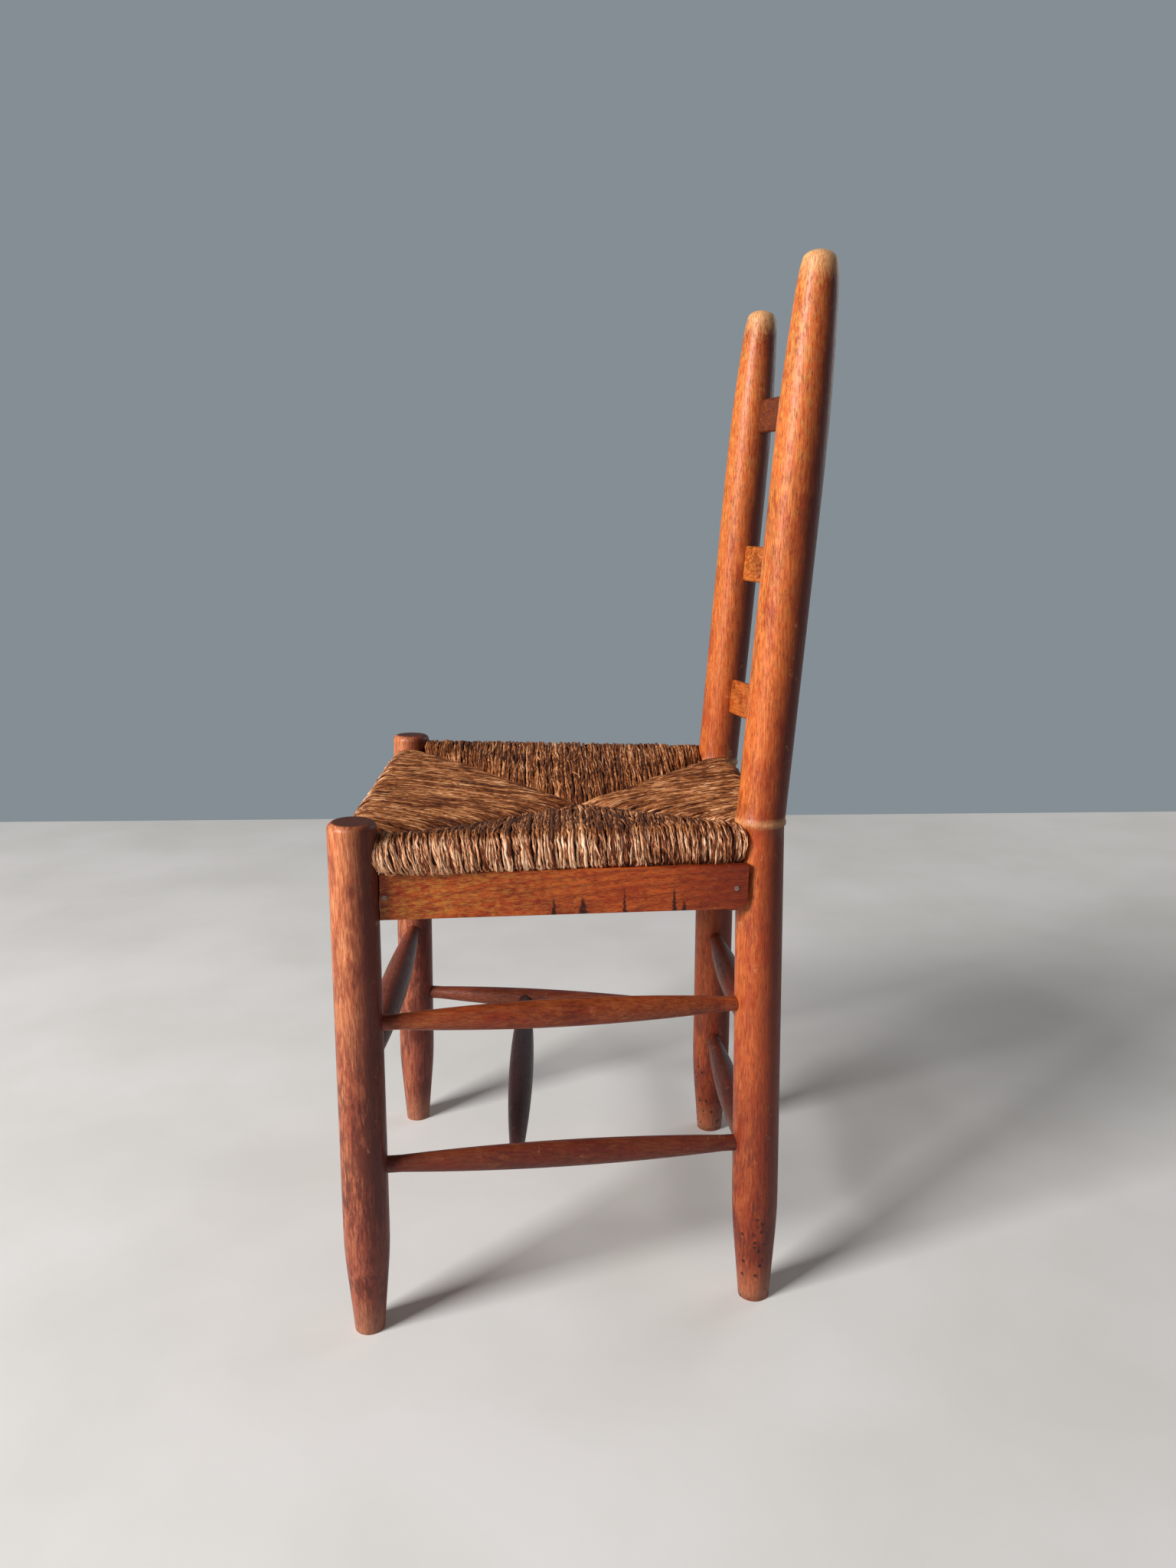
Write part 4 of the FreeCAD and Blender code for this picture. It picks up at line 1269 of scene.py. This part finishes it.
    def threads(self, part: RushField) -> bpy.types.Mesh:
        """The middle lines of one triangle's strands and loose leaves, as loose edges.

        Args:
            part: The triangle to weave.

        Returns:
            A mesh of edges. Each point has its strand's number, how far it is turned out over
            the rail, and the strand's thickness there as a share of a full strand.
        """
        dice = np.random.default_rng(self.seed + len(part.name) * 7 + ord(part.name[0]))
        lines = self.lay_strands(part, dice)
        lines += self.lay_leaves(part, lines, dice)
        verts, edges, strand_of = [], [], []
        for number, (path, _, _) in enumerate(lines):
            base = len(verts)
            verts.extend((path * MM).tolist())
            strand_of.extend([number] * len(path))
            edges.extend((base + k, base + k + 1) for k in range(len(path) - 1))
        mesh = bpy.data.meshes.new(f"threads_{part.name}")
        mesh.from_pydata(verts, edges, [])
        mesh.attributes.new("strand", "INT", "POINT").data.foreach_set("value", strand_of)
        for column, name in ((1, "turn"), (2, "girth")):
            values = np.concatenate([line[column] for line in lines]).astype(np.float32)
            mesh.attributes.new(name, "FLOAT", "POINT").data.foreach_set("value", values)
        return mesh

    def weave_tree(self) -> bpy.types.NodeTree:
        """The node tree that turns middle lines into twisted strands of uneven thickness.

        Returns:
            The tree, with its sizes as named inputs.
        """
        tree = bpy.data.node_groups.new("rush_strands", "GeometryNodeTree")
        add = partial(add_node, tree)
        for name, kind in (
            ("Threads", "Geometry"),
            ("Strand radius", "Float"),
            ("Radius spread", "Float"),
            ("Lump depth", "Float"),
            ("Lumps per metre", "Float"),
            ("Profile sides", "Int"),
            ("Twist per metre", "Float"),
            ("Seed", "Int"),
            ("Finish", "Material"),
        ):
            tree.interface.new_socket(name, in_out="INPUT", socket_type=f"NodeSocket{kind}")
        tree.interface.new_socket("Strands", in_out="OUTPUT", socket_type="NodeSocketGeometry")
        given = add("NodeGroupInput").outputs
        seed, spread = given["Seed"], given["Radius spread"]

        # Each strand has its own thickness, and swells and thins along its length.
        number, girth = (
            add("GeometryNodeInputNamedAttribute", inputs={"Name": name}, data_type=kind)
            for name, kind in (("strand", "INT"), ("girth", "FLOAT"))
        )
        place = add("GeometryNodeInputPosition").outputs[0]
        lumps = ("SUBTRACT", ("noise", place, given["Lumps per metre"], 1.0), 0.5)
        lumps = ("MULTIPLY_ADD", lumps, given["Lump depth"], 0.5)
        shares, tone = (
            add(
                "FunctionNodeRandomValue",
                inputs={2: low, 3: high, "ID": number, "Seed": start},
                data_type="FLOAT",
            ).outputs[1]
            for low, high, start in (
                (("SUBTRACT", 1.0, spread), ("ADD", 1.0, spread), seed),
                (0.0, 1.0, ("ADD", seed, 11.0)),
            )
        )
        sized = add(
            "GeometryNodeSetCurveRadius",
            inputs={
                "Curve": add("GeometryNodeMeshToCurve", inputs={"Mesh": given["Threads"]}),
                "Radius": product(lumps, 2.0, shares, girth),
            },
        )

        # A round profile runs along each line. Both keep their own coordinates.
        measured = add("GeometryNodeCaptureAttribute", inputs={"Geometry": sized}, domain="POINT")
        measured.capture_items.new("FLOAT", "Length")
        length = add("GeometryNodeSplineParameter").outputs["Length"]
        tree.links.new(length, measured.inputs["Length"])
        profile = add(
            "GeometryNodeCurvePrimitiveCircle",
            inputs={"Resolution": given["Profile sides"], "Radius": given["Strand radius"]},
        )
        rim = add("GeometryNodeCaptureAttribute", inputs={"Geometry": profile}, domain="POINT")
        rim.capture_items.new("VECTOR", "Rim")
        tree.links.new(place, rim.inputs["Rim"])
        tube = add(
            "GeometryNodeCurveToMesh",
            inputs={"Curve": measured, "Profile Curve": rim, "Fill Caps": True},
        )
        if "Scale" in tube.inputs:
            tree.links.new(add("GeometryNodeInputRadius").outputs[0], tube.inputs["Scale"])

        # The finish reads how far round and how far along the twist each point lies.
        length = measured.outputs["Length"]
        twisted = add(
            "ShaderNodeVectorRotate",
            inputs={
                "Vector": rim.outputs["Rim"],
                "Axis": (0.0, 0.0, 1.0),
                "Angle": product(length, given["Twist per metre"]),
            },
            rotation_type="AXIS_ANGLE",
        )
        along = add("ShaderNodeCombineXYZ", inputs={"Z": ("MULTIPLY_ADD", tone, 7.0, length)})
        fibre = add("ShaderNodeVectorMath", inputs={0: twisted, 1: along}, operation="ADD")
        strands = tube
        for name, value, kind in (("fibre", fibre, "FLOAT_VECTOR"), ("tone", tone, "FLOAT")):
            strands = add(
                "GeometryNodeStoreNamedAttribute",
                inputs={"Geometry": strands, "Name": name, "Value": value},
                data_type=kind,
                domain="POINT",
            )
        for kind in ("GeometryNodeSetShadeSmooth", "GeometryNodeRealizeInstances"):
            strands = add(kind, inputs={"Geometry": strands})
        ended = {"Geometry": strands, "Material": given["Finish"]}
        strands = add("GeometryNodeSetMaterial", inputs=ended)
        add("NodeGroupOutput", inputs={"Strands": strands})
        return tree

    def weave(
        self, part: RushField, tree: bpy.types.NodeTree, finish: bpy.types.Material
    ) -> bpy.types.Object:
        """Weaves one triangle and lays it in the scene as a plain mesh.

        Args:
            part: The triangle to weave.
            tree: The node tree that makes strands of middle lines.
            finish: The rush material.

        Returns:
            The finished piece.
        """
        loom = put_in_scene(f"loom_{part.name}", self.threads(part))
        modifier = loom.modifiers.new("weave", "NODES")
        modifier.node_group = tree
        values = {
            "Strand radius": self.strand_radius * MM,
            "Radius spread": self.radius_spread,
            "Lump depth": self.lump_depth * 2,
            "Lumps per metre": 1000.0 / self.lump_mm,
            "Profile sides": self.strand_sides,
            "Twist per metre": self.twist_per_mm / MM,
            "Seed": self.seed + len(part.name),
            "Finish": finish,
        }
        for item in tree.interface.items_tree:
            if item.name in values:
                modifier[item.identifier] = values[item.name]
        graph = bpy.context.evaluated_depsgraph_get()
        mesh = bpy.data.meshes.new_from_object(
            loom.evaluated_get(graph), preserve_all_data_layers=True, depsgraph=graph
        )
        bpy.data.objects.remove(loom)
        mesh.name = f"rush_{part.name}_strands"
        return put_in_scene(mesh.name, mesh)

    def stuffing(self) -> bpy.types.Object:
        """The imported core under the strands: one closed skin for each triangle.

        Returns:
            The piece.
        """
        shape = bmesh.new()
        for part in self.fields():
            span = (Vector(part.end) - Vector(part.start)).length
            rows = []
            for share in np.linspace(*part.shares(span), self.core_rows):
                points, _ = self.strand(part, float(share), self.strand_radius + self.core_inset)
                line = np.array([tuple(point) for point in points])
                reach = self.reach(line)
                even = np.linspace(0.0, reach[-1], self.core_points)
                columns = [np.interp(even, reach, line[:, axis]) for axis in range(3)]
                rows.append([shape.verts.new(Vector(point) * MM) for point in zip(*columns)])
            for one, two in zip(rows, rows[1:]):
                for corners in zip(one, one[1:], two[1:], two):
                    shape.faces.new(corners)
            for row in (rows[0], rows[-1]):
                shape.faces.new(row)
        bmesh.ops.remove_doubles(shape, verts=shape.verts, dist=self.core_weld * MM)
        core = shape_in_scene("rush_stuffing", shape)
        core.data.materials.append(RushStuffing().material())
        return core

    def build(self) -> None:
        """Weaves the seat and lets it stand for its plain solid."""
        tree = self.weave_tree()
        finish = TwistedRush().material()
        pieces = [self.weave(part, tree, finish) for part in self.fields()]
        pieces.append(self.stuffing())
        for piece in pieces:
            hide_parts("rush_seat")
            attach(piece, BODY)
            piece.data.calc_loop_triangles()
            LOG.info("%s: %d triangles", piece.name, len(piece.data.loop_triangles))


# ---------------------------------------------------------------- studio


@dataclass
class Studio:
    """A pale floor, soft lamps and the photograph's viewing angle."""

    floor_half: float = 1.75
    lamp_aim: tuple[float, float, float] = (0.0, 0.0, 0.45)
    key_place: tuple[float, float, float] = (2.6, -3.7, 2.5)
    key_size: float = 1.7
    key_watts: float = 345.0
    fill_place: tuple[float, float, float] = (-2.0, 2.8, 1.8)
    fill_size: float = 2.0
    fill_watts: float = 22.0
    sky: float = 0.12
    sky_tint: str = "#FFFFFF"
    backdrop: str = "#848E94"
    image_height: float = 2048.0
    focal_px: float = 1567.1
    axis_px: float = 1019.6
    camera_place: tuple[float, float, float] = (1.15966, -0.02591, 0.70012)
    yaw: float = -1.6603
    pitch: float = -11.7978
    tilt: float = -0.1208

    def floor(self) -> None:
        """Lays the floor, which isn't part of the object."""
        half = self.floor_half
        mesh = bpy.data.meshes.new("studio_floor")
        corners = [(-half, -half, 0), (half, -half, 0), (half, half, 0), (-half, half, 0)]
        mesh.from_pydata(corners, [], [(0, 1, 2, 3)])
        mesh.materials.append(PaleFloor().material())
        put_in_scene("studio_floor", mesh)

    def lamp(self, name: str, place: tuple, size: float, watts: float) -> None:
        """Hangs one soft square lamp that looks at the seat.

        Args:
            name: The lamp's name.
            place: Where it hangs, in metres.
            size: The length of its side in metres.
            watts: Its power.
        """
        light = bpy.data.lights.new(name, "AREA")
        light.shape = "SQUARE"
        light.size = size
        light.energy = watts
        made = put_in_scene(name, light)
        made.location = place
        aim = Vector(self.lamp_aim) - Vector(place)
        made.rotation_euler = aim.to_track_quat("-Z", "Y").to_euler()

    def world(self) -> None:
        """A plain sky that fills the shadows, and a grey backdrop that camera and gloss see."""
        world = bpy.data.worlds.new("studio_world")
        world.use_nodes = True
        world.node_tree.nodes.clear()
        add = partial(add_node, world.node_tree)
        path = add("ShaderNodeLightPath").outputs
        seen = path["Is Camera Ray"]
        for ray in ("Is Glossy Ray", "Is Transmission Ray"):
            seen = ("MAXIMUM", seen, path[ray])
        soft, grey = (
            add("ShaderNodeBackground", inputs={"Color": tint, "Strength": strength})
            for tint, strength in ((self.sky_tint, self.sky), (self.backdrop, 1.0))
        )
        blend = add("ShaderNodeMixShader", inputs={0: seen, 1: soft, 2: grey})
        add("ShaderNodeOutputWorld", inputs={"Surface": blend})
        bpy.context.scene.world = world

    def camera(self) -> None:
        """Sets the camera where the photograph was taken."""
        yaw, pitch, tilt = (math.radians(v) for v in (self.yaw, self.pitch, self.tilt))
        ahead = Vector(
            (-math.cos(yaw) * math.cos(pitch), -math.sin(yaw) * math.cos(pitch), math.sin(pitch))
        )
        right = ahead.cross(Vector((0, 0, 1))).normalized()
        up = right.cross(ahead)
        right, up = (
            right * math.cos(tilt) + up * math.sin(tilt),
            up * math.cos(tilt) - right * math.sin(tilt),
        )
        lens = bpy.data.cameras.new("camera")
        lens.sensor_width = 36.0
        lens.lens = lens.sensor_width * self.focal_px / self.image_height
        lens.shift_y = (self.axis_px - self.image_height / 2) / self.image_height
        lens.clip_start = 0.05
        made = put_in_scene("camera", lens)
        turn = Matrix((right, up, -ahead)).transposed().to_4x4()
        made.matrix_world = Matrix.Translation(self.camera_place) @ turn
        bpy.context.scene.camera = made

    def build(self) -> None:
        """Sets up floor, lamps, sky and camera."""
        self.floor()
        self.lamp("key_lamp", self.key_place, self.key_size, self.key_watts)
        self.lamp("fill_lamp", self.fill_place, self.fill_size, self.fill_watts)
        self.world()
        self.camera()
        bpy.context.scene.view_settings.view_transform = "Standard"
        LOG.info("studio ready")


def main() -> None:
    """Dresses the chair piece by piece and sets up the studio."""
    logging.basicConfig(level=logging.INFO, format="%(message)s")
    WoodenPieces().dress()
    RushSeat().build()
    Studio().build()


if __name__ == "__main__":
    main()
